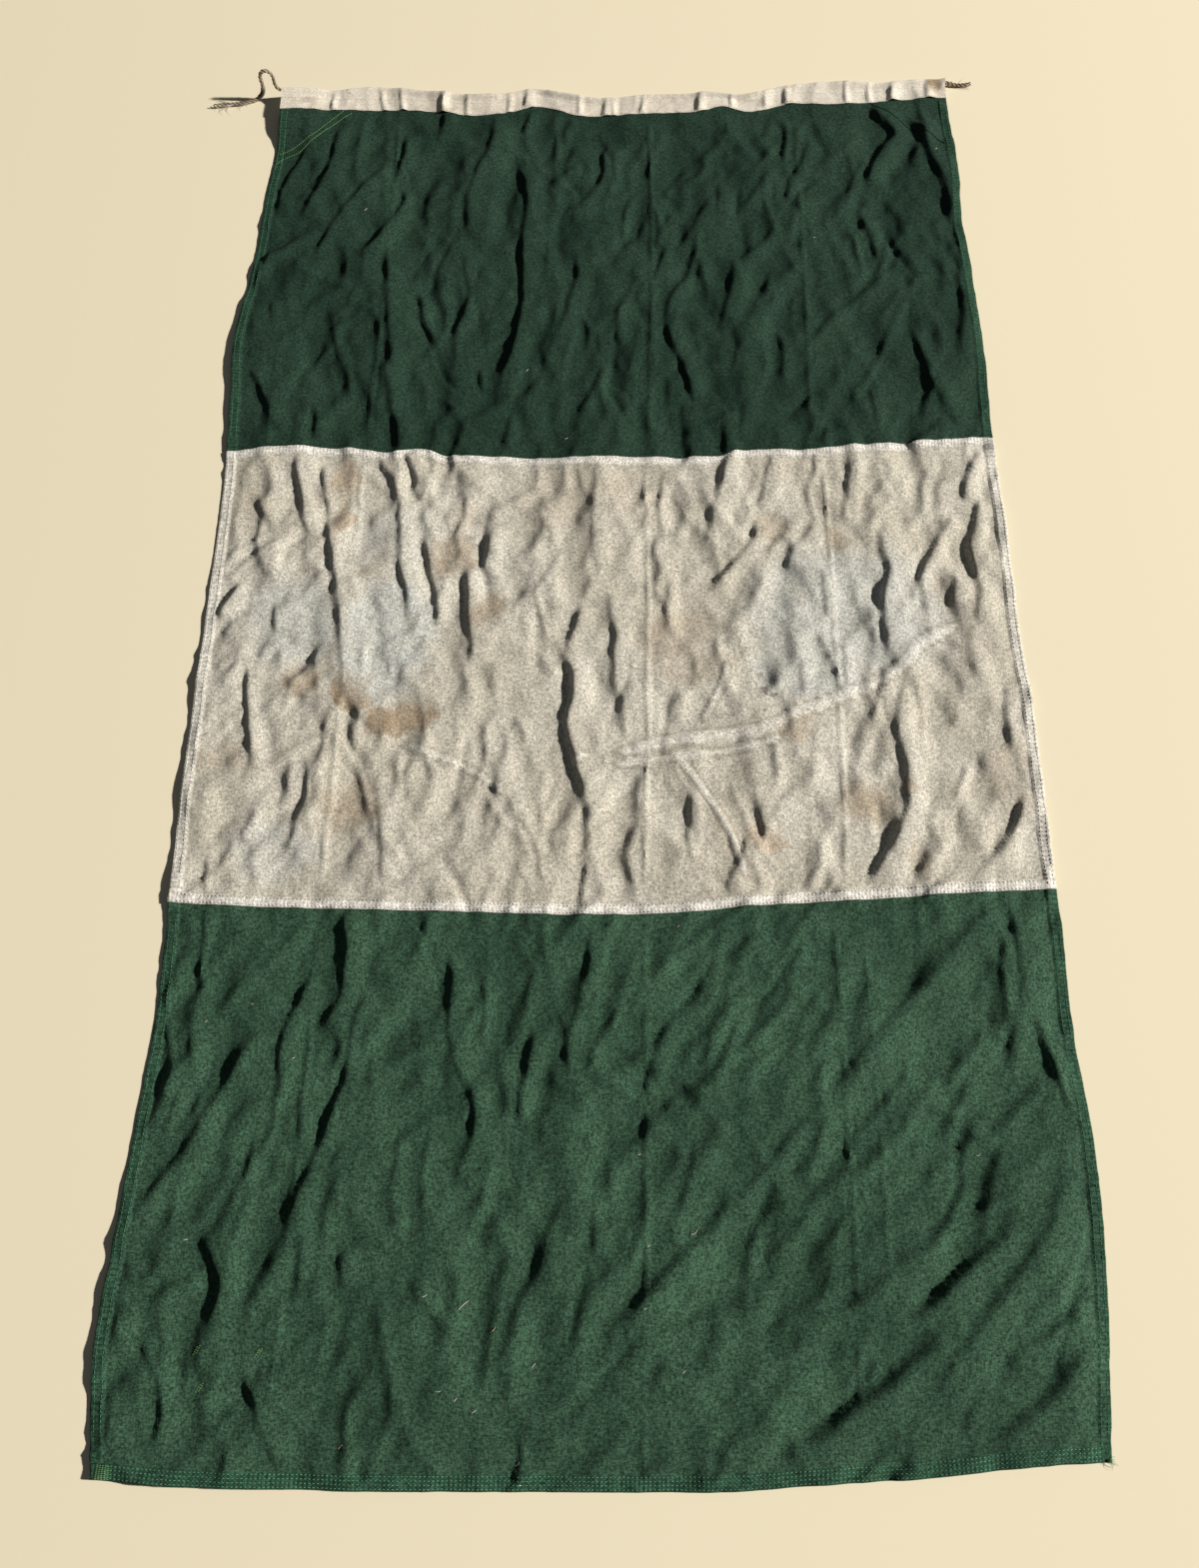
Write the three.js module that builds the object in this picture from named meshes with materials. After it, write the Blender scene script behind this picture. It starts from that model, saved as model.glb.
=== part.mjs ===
// A worn flag of three bands, lying open with its folds and creases.
// Millimetres. +X runs along the heading, +Y towards the heading, +Z up.
// The origin is on the ground, under the middle of the cloth.
import * as THREE from 'three';

// ---- Driving dimensions ----
const HALF_WIDTH = 465;
const CLOTH = 1.5;
const HEM_CLOTH = 2.5;
const CANVAS = 1.0;
const PATCH_CLOTH = 1.0;
const GAP = 0.4;
const SIDE_HEM = 12;
const FLY_HEM = 14;
const SEAM_LAP = 11;
const HEADING_WIDTH = 38;
const HEADING_TUCK = 24;
const ROPE_DIAMETER = 5;
const ROPE_SIDES = 8;
const ROPE_CLEARANCE = 0.6;

// How finely each piece is cut into flat faces.
const MAIN_COLUMNS = 36;
const HOIST_ROWS = 9;
const CENTRE_ROWS = 4;
const FLY_ROWS = 16;
const LOOP_STEPS = 28;
const END_STEPS = 6;
const SNAP_SHARE = 0.45;
const PATCH_CELLS = 4;
const PATCH_DEPTH = 95;

// ---- Outline: where the cloth's edges and seams lie on the ground ----
// Each line is drawn through a few stations, [along, across].
const leftEdge = smoothLine([
  [-859, -449], [-840, -453], [-790, -461], [-733, -465], [-675, -462], [-600, -459],
  [-531, -456], [-446, -452], [-330, -455], [-205, -459], [0, -460], [193, -462],
  [249, -465], [318, -469], [388, -474.5], [449, -471], [503, -465], [573, -462],
  [638, -461], [700, -457], [780, -455], [815, -456],
]);
const rightEdge = smoothLine([
  [-829, 454], [-775, 459], [-725, 466], [-668, 471], [-610, 474.5], [-531, 473],
  [-454, 468], [-377, 469], [-220, 469], [-78, 468], [0, 465], [193, 463], [272, 461],
  [369, 464], [445, 463], [531, 460], [631, 456], [692, 459], [785, 456], [857, 455],
]);
const headingTop = smoothLine([
  [-456, 814], [-420, 819], [-385, 820], [-325, 829], [-262, 823], [-190, 817], [-150, 820],
  [-113, 828], [-77, 823], [-23, 814], [50, 821], [131, 826], [181, 826], [231, 840],
  [300, 849], [369, 850], [404, 855], [455, 859],
]);
const headingBottom = smoothLine([
  [-456, 778], [-420, 782], [-385, 785], [-331, 788], [-261, 788], [-196, 781], [-154, 785],
  [-104, 798], [-54, 783], [-19, 783], [50, 789], [111, 793], [146, 803], [181, 795],
  [238, 810], [292, 809], [350, 815], [400, 822], [455, 826],
]);
const upperSeam = smoothLine([
  [-463, 230], [-400, 236], [-323, 236], [-265, 231], [-231, 236], [-196, 226], [-111, 226],
  [-46, 225], [46, 228], [125, 230], [154, 238], [238, 242], [304, 251], [377, 256],
  [446, 263], [462, 262],
]);
const lowerSeam = smoothLine([
  [-455, -329], [-400, -332], [-269, -334], [-115, -336], [-38, -337], [77, -333],
  [146, -325], [261, -317], [365, -309], [468, -302],
]);
const flyEdge = smoothLine([
  [-449, -853], [-385, -857], [-269, -859], [-115, -859], [0, -858], [115, -856],
  [192, -850], [269, -845], [338, -838], [396, -832], [454, -830],
]);
// A long pressed crease that crosses the middle of the centre panel.
const pressedCrease = smoothLine([
  [-462, -70], [-250, -115], [-40, -160], [50, -140], [169, -119], [246, -82], [331, -33],
  [400, 14], [466, 40],
]);

// ---- Folds: crest paths on the ground, with height and half width ----
const fold = (height, reach, path) => ({ height, reach, path });
const FOLDS = [
  // hoist panel
  fold(8, 22, [[-402, 728], [-418, 690], [-431, 655], [-434, 605]]),
  fold(9, 24, [[-290, 694], [-323, 652], [-346, 610], [-369, 560], [-377, 528]]),
  fold(9, 24, [[-155, 772], [-158, 719], [-177, 672], [-184, 625], [-184, 585]]),
  fold(13, 26, [
    [-122, 700], [-109, 650], [-105, 600], [-109, 540], [-106, 465], [-114, 400],
    [-128, 345], [-136, 305],
  ]),
  fold(12, 26, [
    [-288, 545], [-280, 500], [-277, 450], [-270, 390], [-264, 340], [-257, 285],
    [-243, 238], [-236, 215],
  ]),
  fold(8, 24, [[-44, 545], [-36, 505], [-45, 470], [-52, 436], [-64, 405], [-82, 352]]),
  fold(7, 22, [[-10, 690], [-25, 640], [-44, 600]]),
  fold(7, 22, [[-188, 540], [-182, 500], [-175, 468], [-182, 436], [-196, 402]]),
  fold(13, 26, [
    [358, 812], [368, 788], [388, 765], [392, 748], [374, 722], [358, 700], [346, 672],
    [340, 645],
  ]),
  fold(10, 22, [[412, 788], [424, 770], [430, 745], [432, 715], [446, 690]]),
  fold(8, 22, [[450, 690], [451, 640], [452, 590], [456, 535], [454, 500], [452, 450]]),
  fold(8, 22, [[231, 782], [243, 752], [238, 735], [235, 708]]),
  fold(6, 22, [[265, 720], [246, 690], [228, 661], [226, 625]]),
  fold(7, 22, [[127, 642], [112, 608], [100, 581], [88, 562], [69, 535], [58, 492]]),
  fold(9, 24, [[110, 512], [84, 480], [77, 449], [76, 430], [82, 399], [100, 361], [105, 311]]),
  fold(9, 26, [[250, 542], [215, 503], [190, 468], [175, 426], [170, 399], [165, 349], [167, 290]]),
  fold(5, 20, [[385, 518], [365, 468], [350, 438], [327, 376], [304, 342], [288, 311]]),
  fold(6, 22, [[380, 426], [392, 395], [396, 357], [407, 326], [428, 305]]),
  // centre panel
  fold(9, 22, [[-369, 226], [-368, 200], [-359, 170], [-353, 147], [-347, 118]]),
  fold(14, 26, [
    [-334, 215], [-334, 190], [-323, 164], [-322, 135], [-316, 105], [-308, 66], [-301, 35],
    [-294, -7], [-288, -60], [-282, -93], [-262, -120], [-240, -143],
  ]),
  fold(10, 24, [
    [-274, 222], [-254, 197], [-243, 170], [-240, 139], [-237, 101], [-232, 66],
    [-224, 39], [-220, 2],
  ]),
  fold(11, 24, [[-159, 72], [-156, 39], [-152, 8], [-147, -18], [-143, -57]]),
  fold(10, 24, [
    [-11, 216], [-10, 178], [-12, 139], [-10, 101], [-6, 62], [6, 30], [12, 0], [15, -57],
    [14, -85],
  ]),
  fold(16, 28, [
    [-33, 20], [-36, -7], [-42, -34], [-31, -62], [-28, -95], [-36, -115], [-30, -147],
    [-24, -174], [-14, -205], [-8, -238],
  ]),
  fold(9, 24, [[140, 290], [146, 250], [140, 220], [134, 190], [124, 150], [120, 115]]),
  fold(8, 24, [[200, 228], [193, 205], [187, 175], [179, 143], [175, 116], [152, 85], [125, 52]]),
  fold(6, 22, [[245, 143], [237, 120], [218, 101], [208, 72]]),
  fold(7, 22, [[293, 228], [289, 193], [283, 158]]),
  fold(14, 26, [
    [325, 140], [322, 116], [326, 97], [333, 76], [321, 45], [321, 8], [323, -30], [328, -58],
    [329, -97], [324, -128], [332, -155], [332, -185], [331, -212], [316, -243], [297, -274],
    [281, -303],
  ]),
  fold(10, 22, [
    [450, 244], [437, 218], [429, 190], [436, 160], [428, 128], [424, 100], [434, 55],
    [426, 10], [418, -28],
  ]),
  fold(6, 22, [[405, 150], [386, 114], [372, 82], [357, 55]]),
  fold(8, 16, [
    [-40, -160], [50, -140], [115, -130], [169, -119], [246, -82], [300, -52], [331, -33],
    [369, -6], [400, 14],
  ]),
  fold(7, 22, [[-397, -58], [-394, -90], [-386, -135], [-375, -178]]),
  fold(7, 22, [[-322, -162], [-316, -189], [-314, -208], [-325, -235], [-325, -266]]),
  fold(7, 22, [[-239, -216], [-231, -251], [-224, -301]]),
  fold(10, 24, [[455, -190], [440, -238], [417, -268], [378, -300]]),
  fold(6, 22, [[156, -247], [145, -282], [129, -310]]),
  // fly panel
  fold(6, 22, [[-405, -338], [-402, -369], [-405, -415]]),
  fold(5, 22, [[-308, -342], [-346, -388], [-400, -446]]),
  fold(9, 22, [[-262, -338], [-258, -377], [-256, -400], [-260, -427], [-280, -452]]),
  fold(8, 20, [[-295, -405], [-306, -435], [-313, -462], [-314, -485], [-311, -519]]),
  fold(9, 24, [
    [-338, -458], [-356, -487], [-366, -514], [-382, -538], [-390, -565], [-428, -615],
    [-446, -640],
  ]),
  fold(7, 22, [
    [-242, -420], [-252, -442], [-252, -477], [-258, -515], [-267, -550], [-277, -596],
    [-296, -645],
  ]),
  fold(9, 24, [
    [-155, -377], [-147, -415], [-149, -454], [-138, -492], [-122, -519], [-118, -562],
    [-134, -604],
  ]),
  fold(7, 22, [[-8, -358], [-12, -415], [-30, -469], [-27, -505]]),
  fold(8, 24, [[116, -392], [104, -415], [78, -440], [58, -477], [48, -510]]),
  fold(8, 22, [[120, -485], [108, -520], [100, -560], [94, -590], [84, -625]]),
  fold(8, 24, [
    [412, -308], [369, -346], [335, -388], [292, -431], [246, -481], [215, -519],
    [177, -554], [150, -588], [104, -633], [77, -656], [50, -683], [30, -715],
  ]),
  fold(7, 22, [[275, -392], [258, -425], [235, -446], [212, -471], [183, -500], [172, -525]]),
  fold(7, 22, [[308, -478], [294, -506], [272, -533], [240, -562]]),
  fold(9, 20, [[423, -330], [424, -372], [421, -412], [411, -445], [403, -485]]),
  fold(5, 22, [[-375, -656], [-357, -672], [-347, -695], [-356, -725]]),
  fold(7, 22, [[-317, -768], [-302, -798], [-286, -829]]),
  fold(6, 30, [[-200, -812], [-150, -795], [-77, -806], [0, -795]]),
  fold(9, 24, [[176, -834], [210, -812], [240, -790], [278, -767], [316, -736], [330, -720]]),
  fold(14, 26, [
    [308, -780], [331, -750], [358, -719], [389, -684], [411, -658], [434, -630], [446, -592],
  ]),
  fold(9, 22, [[354, -820], [388, -801], [418, -778], [438, -752], [460, -728]]),
  fold(5, 28, [[30, -757], [110, -718], [165, -705], [215, -708], [250, -690], [330, -642]]),
  // lifted side hems
  fold(8, 30, [[-458, 800], [-457, 740], [-458, 690]]),
  fold(6, 24, [[-462, 650], [-464, 560], [-468, 480]]),
  fold(5, 24, [[-458, -560], [-461, -640], [-463, -715], [-460, -800], [-452, -842]]),
];
// The heading's left end stands clear of the ground.
const RAISED_CORNER = { x: -470, y: 792, height: 14, reach: 95 };
// A fold rises from just before its path's start and sinks to just past its end.
const FOLD_END = 0.22;
const FOLD_OVERRUN = 0.05;

// ---- Rope: centre lines of its free ends, chosen by hand ----
// The left end leaves the heading, stands up in a small bight, and lies down with its frayed tail.
const LOOP_ROUTE = [
  [-457, 810.2, 16.4], [-460.2, 810.8, 17.4], [-463, 811.8, 21], [-464, 812.6, 26.4],
  [-463.8, 813, 32], [-465, 813, 37], [-468.4, 813, 41], [-473, 812.6, 42.4],
  [-477.6, 812, 40.6], [-480.4, 811.6, 36.4], [-481, 811, 31], [-480.6, 810.6, 25],
  [-480.6, 810, 19], [-482, 809.6, 13.4], [-485, 809, 8.6], [-489.6, 808, 5],
  [-495, 806, 3.2], [-500.6, 804, 2.7], [-507, 801.6, 2.7], [-514, 799.6, 2.7],
  [-522, 798.6, 2.7], [-531, 797.6, 2.7], [-541, 796, 2.7], [-551, 794, 2.7],
];
// The right end comes straight out and frays at once.
const END_ROUTE = [
  [456, 854.6, 4.1], [459, 854.2, 4.05], [462, 853.6, 3.9], [465, 853, 3.6], [468, 852.4, 3.2],
  [471, 852, 2.9], [474, 851.8, 2.7], [477, 851.8, 2.7], [480, 852, 2.7], [483, 852.4, 2.7],
  [486, 853, 2.7], [489, 853.8, 2.7], [492, 854.8, 2.7],
];

// A smooth function through [position, value] stations in rising order.
function smoothLine(stations) {
  const positions = new Float32Array(stations.map(([position]) => position));
  const values = new Float32Array(stations.map(([, value]) => value));
  const curve = new THREE.CubicInterpolant(positions, values, 1, new Float32Array(1));
  return (position) => curve.evaluate(position)[0];
}

// Where a path passes nearest to a point: the distance, and how far along it that is, 0 to 1.
function nearestOnPath(path, x, y) {
  const point = new THREE.Vector3(x, y, 0);
  const nearest = new THREE.Vector3();
  const lengths = path.slice(1).map(([px, py], k) => Math.hypot(px - path[k][0], py - path[k][1]));
  const total = lengths.reduce((sum, length) => sum + length, 0);
  const best = { distance: Infinity, along: 0 };
  let walked = 0;
  lengths.forEach((length, k) => {
    const span = new THREE.Line3(
      new THREE.Vector3(...path[k], 0), new THREE.Vector3(...path[k + 1], 0));
    const part = span.closestPointToPointParameter(point, true);
    const distance = span.at(part, nearest).distanceTo(point);
    if (distance < best.distance) {
      best.distance = distance;
      best.along = (walked + part * length) / total;
    }
    walked += length;
  });
  return best;
}

// A rounded hump: 1 at its middle, 0 at its reach and beyond.
const hump = (distance, reach) =>
  distance < reach ? 0.5 * (1 + Math.cos((Math.PI * distance) / reach)) : 0;

// How high the cloth's underside stands above the ground.
function lift(x, y) {
  const heights = FOLDS.map(({ height, reach, path }) => {
    const { distance, along } = nearestOnPath(path, x, y);
    const ends = THREE.MathUtils.smoothstep(along, -FOLD_OVERRUN, FOLD_END)
      * (1 - THREE.MathUtils.smoothstep(along, 1 - FOLD_END, 1 + FOLD_OVERRUN));
    return height * hump(distance, reach) * ends;
  });
  const corner = RAISED_CORNER.height
    * hump(Math.hypot(x - RAISED_CORNER.x, y - RAISED_CORNER.y), RAISED_CORNER.reach);
  return Math.max(corner, ...heights);
}

// Where a fold's crest crosses a given y, or null if it doesn't.
function crestAt({ path }, y) {
  const k = path.findIndex(([, py], n) => n > 0 && (path[n - 1][1] - y) * (py - y) <= 0);
  if (k < 1) return null;
  const [[x0, y0], [x1, y1]] = [path[k - 1], path[k]];
  return y1 === y0 ? null : x0 + ((x1 - x0) * (y - y0)) / (y1 - y0);
}

// Columns of the cloth grid, 0 at the left edge and 1 at the right.
const hemShare = SIDE_HEM / (2 * HALF_WIDTH);
const mainShares = Array.from({ length: MAIN_COLUMNS + 1 }, (_, k) =>
  THREE.MathUtils.lerp(hemShare, 1 - hemShare, k / MAIN_COLUMNS));
const COLUMNS = [0, ...mainShares, 1];
const columnStep = (2 * HALF_WIDTH) / MAIN_COLUMNS;

// One grid point on a line across the flag, drawn to the crest of a fold that passes close by.
function onLine(line, share, column) {
  const roughY = line(THREE.MathUtils.lerp(-HALF_WIDTH, HALF_WIDTH, share));
  let x = THREE.MathUtils.lerp(leftEdge(roughY), rightEdge(roughY), share);
  const y = line(x);
  const isFree = column > 1 && column < COLUMNS.length - 2;
  if (isFree) {
    const near = FOLDS.map((ridge) => crestAt(ridge, y))
      .filter((crest) => crest !== null && Math.abs(crest - x) < SNAP_SHARE * columnStep)
      .sort((a, b) => Math.abs(a - x) - Math.abs(b - x));
    if (near.length) [x] = near;
  }
  const settled = line(x);
  return new THREE.Vector3(x, settled, lift(x, settled));
}

// A row of grid points. rise is the underside's height above the lifted ground, cloth is the
// thickness, and side is the thickness in the side hems.
const rowOn = (line, { rise = 0, cloth = CLOTH, side = HEM_CLOTH } = {}) => ({
  points: COLUMNS.map((share, column) => onLine(line, share, column)), rise, cloth, side,
});
const shifted = (line, offset) => (x) => line(x) + offset;
const between = (upper, lower, part) => (x) => THREE.MathUtils.lerp(upper(x), lower(x), part);

// count rows between two lines, the first and the last left out.
const rowsBetween = (upper, lower, count) =>
  Array.from({ length: count }, (_, k) => rowOn(between(upper, lower, (k + 1) / (count + 1))));

// Closes a set of ground triangles into a sheet between two heights per grid point.
function closedSheet(under, over, triangles) {
  const position = [];
  const put = (points, ids) => ids.forEach((id) => position.push(...points[id].toArray()));
  const edges = new Set(triangles.flatMap(([a, b, c]) => [`${a},${b}`, `${b},${c}`, `${c},${a}`]));
  triangles.forEach(([a, b, c]) => {
    put(over, [a, b, c]);
    put(under, [c, b, a]);
  });
  edges.forEach((edge) => {
    const [a, b] = edge.split(',').map(Number);
    if (edges.has(`${b},${a}`)) return;
    put(under, [a, b]);
    put(over, [b]);
    put(under, [a]);
    put(over, [b, a]);
  });
  const geometry = new THREE.BufferGeometry();
  geometry.setAttribute('position', new THREE.Float32BufferAttribute(position, 3));
  geometry.computeVertexNormals();
  return geometry;
}

// Ground triangles of one grid cell, cut along the diagonal that rises or falls to the right.
// Rows run from the heading towards the fly, so the row below has the higher index.
function cellTriangles(row, column, rising, keep = 'whole') {
  const id = (r, c) => r * COLUMNS.length + c;
  const [upperLeft, upperRight] = [id(row, column), id(row, column + 1)];
  const [lowerLeft, lowerRight] = [id(row + 1, column), id(row + 1, column + 1)];
  const pieces = rising
    ? { upper: [upperLeft, lowerLeft, upperRight], lower: [upperRight, lowerLeft, lowerRight] }
    : { upper: [upperLeft, lowerRight, upperRight], lower: [upperLeft, lowerLeft, lowerRight] };
  return keep === 'whole' ? [pieces.upper, pieces.lower] : [pieces[keep]];
}

const raisedBy = (point, height) => point.clone().setZ(point.z + height);

// A panel through its rows, thicker along its side hems.
function panelGeometry(rows, isRising = () => true) {
  const isHem = (column) => column === 0 || column === COLUMNS.length - 1;
  const under = rows.flatMap(({ points, rise }) => points.map((point) => raisedBy(point, rise)));
  const over = rows.flatMap(({ points, rise, cloth, side }) => points.map((point, column) =>
    raisedBy(point, rise + (isHem(column) ? side : cloth))));
  const triangles = rows.slice(1).flatMap((_, row) => COLUMNS.slice(1).flatMap((__, column) =>
    cellTriangles(row, column, isRising(row, column))));
  return closedSheet(under, over, triangles);
}

// ---- Rows of each panel, from the heading to the fly ----
const topRow = rowOn(headingTop);
const bottomRow = rowOn(headingBottom);
const tuckShare = 1 - HEADING_TUCK / HEADING_WIDTH;
const underCanvas = { rise: CANVAS + GAP, cloth: CLOTH, side: CLOTH };
const tuckedRow = {
  points: topRow.points.map((point, k) => point.clone().lerp(bottomRow.points[k], tuckShare)),
  ...underCanvas,
};
const PATCH_START = 2;
const belowHeading = (offset) => shifted(headingBottom, -offset);
const patchRows = Array.from({ length: PATCH_CELLS + 1 }, (_, k) =>
  rowOn(belowHeading(PATCH_START + (k * PATCH_DEPTH) / PATCH_CELLS), k === 0 ? underCanvas : {}));
const FIRST_PATCH_ROW = 2;
const lapping = { rise: CLOTH + GAP, side: CLOTH };
const lapped = { side: CLOTH };
const hoistRows = [
  tuckedRow,
  { ...bottomRow, ...underCanvas },
  ...patchRows,
  ...rowsBetween(belowHeading(PATCH_START + PATCH_DEPTH), upperSeam, HOIST_ROWS),
  rowOn(upperSeam, lapped),
  rowOn(shifted(upperSeam, -SEAM_LAP), lapped),
];
const centreRows = [
  rowOn(upperSeam, lapping),
  rowOn(shifted(upperSeam, -SEAM_LAP), lapping),
  rowOn(shifted(upperSeam, -2 * SEAM_LAP)),
  ...rowsBetween(shifted(upperSeam, -2 * SEAM_LAP), pressedCrease, CENTRE_ROWS),
  rowOn(pressedCrease),
  ...rowsBetween(pressedCrease, shifted(lowerSeam, 2 * SEAM_LAP), CENTRE_ROWS),
  rowOn(shifted(lowerSeam, 2 * SEAM_LAP)),
  rowOn(shifted(lowerSeam, SEAM_LAP), lapping),
  rowOn(lowerSeam, lapping),
];
const flyRows = [
  rowOn(shifted(lowerSeam, SEAM_LAP), lapped),
  rowOn(lowerSeam, lapped),
  ...rowsBetween(lowerSeam, shifted(flyEdge, FLY_HEM), FLY_ROWS),
  rowOn(shifted(flyEdge, FLY_HEM), { cloth: HEM_CLOTH }),
  rowOn(flyEdge, { cloth: HEM_CLOTH }),
];

const isInRightPatch = (row, column) =>
  row >= FIRST_PATCH_ROW && row < FIRST_PATCH_ROW + PATCH_CELLS
  && column > COLUMNS.length - 3 - PATCH_CELLS && column < COLUMNS.length - 2;

// A corner patch: the triangle of panel cells next to the heading and the side hem.
function patchGeometry(onLeft) {
  const lastColumn = COLUMNS.length - 3;
  const heights = (extra) => hoistRows.flatMap(({ points, rise }) =>
    points.map((point) => raisedBy(point, rise + CLOTH + GAP + extra)));
  const triangles = [];
  for (let down = 0; down < PATCH_CELLS; down += 1) {
    for (let across = 0; down + across < PATCH_CELLS; across += 1) {
      const column = onLeft ? 1 + across : lastColumn - across;
      const keep = down + across === PATCH_CELLS - 1 ? 'upper' : 'whole';
      triangles.push(...cellTriangles(FIRST_PATCH_ROW + down, column, onLeft, keep));
    }
  }
  return closedSheet(heights(0), heights(PATCH_CLOTH), triangles);
}

// ---- Heading: one canvas strip folded round the rope and over the panel's edge ----
// Its section, [from the folded edge towards the panel, up]: once round outside, once inside.
const innerRadius = ROPE_DIAMETER / 2 + ROPE_CLEARANCE;
const outerRadius = innerRadius + CANVAS;
const tuckStart = HEADING_WIDTH - HEADING_TUCK;
const upperLayer = CANVAS + GAP + CLOTH + GAP;
function roundTheRope(radius, clockwise) {
  const arc = Array.from({ length: 5 }, (_, k) => (1 - k / 2) * (Math.PI / 2));
  const points = arc.map((angle) => [
    outerRadius - radius * Math.cos(angle), outerRadius + radius * Math.sin(angle)]);
  return clockwise ? points.reverse() : points;
}
const HEADING_SECTION = [
  [HEADING_WIDTH, 0], [tuckStart, 0],
  ...roundTheRope(outerRadius, true),
  [tuckStart, upperLayer + CANVAS], [HEADING_WIDTH, upperLayer + CANVAS],
  [HEADING_WIDTH, upperLayer], [tuckStart, upperLayer],
  ...roundTheRope(innerRadius, false),
  [tuckStart, CANVAS], [HEADING_WIDTH, CANVAS],
];

// A point of the heading's section at one column of the grid.
function inHeading(column, [across, up]) {
  const part = across / HEADING_WIDTH;
  return raisedBy(topRow.points[column].clone().lerp(bottomRow.points[column], part), up);
}

// Sweeps a section along the heading, with its quads cut as the panel's cells are.
function alongHeading(section) {
  const rings = COLUMNS.map((_, column) => section.map((at) => inHeading(column, at)));
  const position = [];
  const put = (...points) => points.forEach((point) => position.push(...point.toArray()));
  rings.slice(1).forEach((next, k) => {
    const ring = rings[k];
    section.forEach(([across], n) => {
      const m = (n + 1) % section.length;
      if (section[m][0] > across) {
        put(ring[n], ring[m], next[n], next[n], ring[m], next[m]);
      } else {
        put(ring[n], ring[m], next[m], ring[n], next[m], next[n]);
      }
    });
  });
  const outline = section.map(([across, up]) => new THREE.Vector2(across, up));
  const [first, last] = [rings[0], rings[rings.length - 1]];
  THREE.ShapeUtils.triangulateShape(outline, []).forEach(([a, b, c]) => {
    put(first[a], first[b], first[c]);
    put(last[c], last[b], last[a]);
  });
  const geometry = new THREE.BufferGeometry();
  geometry.setAttribute('position', new THREE.Float32BufferAttribute(position, 3));
  geometry.computeVertexNormals();
  return geometry;
}

// ---- Rope ----
// The hidden stretch fills the heading's tunnel, in the same steps as the tunnel itself.
const ROPE_SECTION = Array.from({ length: ROPE_SIDES }, (_, k) => {
  const angle = -(k * 2 * Math.PI) / ROPE_SIDES;
  return [
    outerRadius + (ROPE_DIAMETER / 2) * Math.cos(angle),
    outerRadius + (ROPE_DIAMETER / 2) * Math.sin(angle),
  ];
});

// A free end is a tube along its own route.
function freeRopeGeometry(points, steps) {
  const section = new THREE.Shape(Array.from({ length: ROPE_SIDES }, (_, k) => {
    const angle = (k * 2 * Math.PI) / ROPE_SIDES;
    return new THREE.Vector2(
      (ROPE_DIAMETER / 2) * Math.cos(angle), (ROPE_DIAMETER / 2) * Math.sin(angle));
  }));
  const extrudePath = new THREE.CatmullRomCurve3(
    points.map((point) => new THREE.Vector3(...point)));
  return new THREE.ExtrudeGeometry(section, { extrudePath, steps, curveSegments: 1 });
}

// ---- Assembly ----
function piece(name, geometry, color, roughness) {
  const material = new THREE.MeshStandardMaterial({ color, roughness, metalness: 0 });
  const mesh = new THREE.Mesh(geometry, material);
  mesh.name = name;
  return mesh;
}

const GREEN = 0x2b4a3a;
const OFF_WHITE = 0xb8ae9c;
const CANVAS_WHITE = 0xc9c1b4;
const ROPE_BROWN = 0x8a7a66;

const cloth = new THREE.Group();
cloth.add(
  piece('hoist_panel', panelGeometry(hoistRows, (row, column) => !isInRightPatch(row, column)),
    GREEN, 0.92),
  piece('centre_panel', panelGeometry(centreRows), OFF_WHITE, 0.95),
  piece('fly_panel', panelGeometry(flyRows), GREEN, 0.92),
  piece('heading', alongHeading(HEADING_SECTION), CANVAS_WHITE, 0.9),
  piece('corner_patch_left', patchGeometry(true), GREEN, 0.92),
  piece('corner_patch_right', patchGeometry(false), GREEN, 0.92),
);
const rope = new THREE.Group();
rope.add(
  piece('hoist_rope', alongHeading(ROPE_SECTION), ROPE_BROWN, 0.95),
  piece('rope_loop', freeRopeGeometry(LOOP_ROUTE, LOOP_STEPS), ROPE_BROWN, 0.95),
  piece('rope_end', freeRopeGeometry(END_ROUTE, END_STEPS), ROPE_BROWN, 0.95),
);

const flag = new THREE.Group();
flag.add(cloth, rope);
export default flag;
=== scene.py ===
"""A worn flag of three bands, lying open on the floor with its folds, creases and stains.

Row frame, in metres: +X runs along the heading, +Y towards the heading, +Z up, and the origin
is on the ground under the middle of the cloth. Ground plans (edges, folds, stains) are written
in millimetres and turned into metres by the classes that hold them.
"""
import logging
import math
from dataclasses import dataclass, replace
from enum import Enum
from functools import lru_cache
from typing import Iterable, Sequence

import bpy
import numpy as np
from mathutils import Matrix, Vector


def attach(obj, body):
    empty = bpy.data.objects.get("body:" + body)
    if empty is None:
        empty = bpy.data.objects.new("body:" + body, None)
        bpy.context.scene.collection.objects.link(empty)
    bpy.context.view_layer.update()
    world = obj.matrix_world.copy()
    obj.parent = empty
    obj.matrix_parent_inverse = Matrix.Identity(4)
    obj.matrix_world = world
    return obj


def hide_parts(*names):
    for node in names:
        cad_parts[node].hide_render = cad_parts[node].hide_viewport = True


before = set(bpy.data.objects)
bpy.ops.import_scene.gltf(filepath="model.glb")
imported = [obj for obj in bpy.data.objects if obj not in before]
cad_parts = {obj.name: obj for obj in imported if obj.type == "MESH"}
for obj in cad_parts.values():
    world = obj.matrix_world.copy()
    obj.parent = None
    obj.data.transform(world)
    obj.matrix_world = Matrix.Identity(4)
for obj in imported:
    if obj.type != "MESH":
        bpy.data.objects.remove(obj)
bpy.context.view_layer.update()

log = logging.getLogger("flag")

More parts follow.
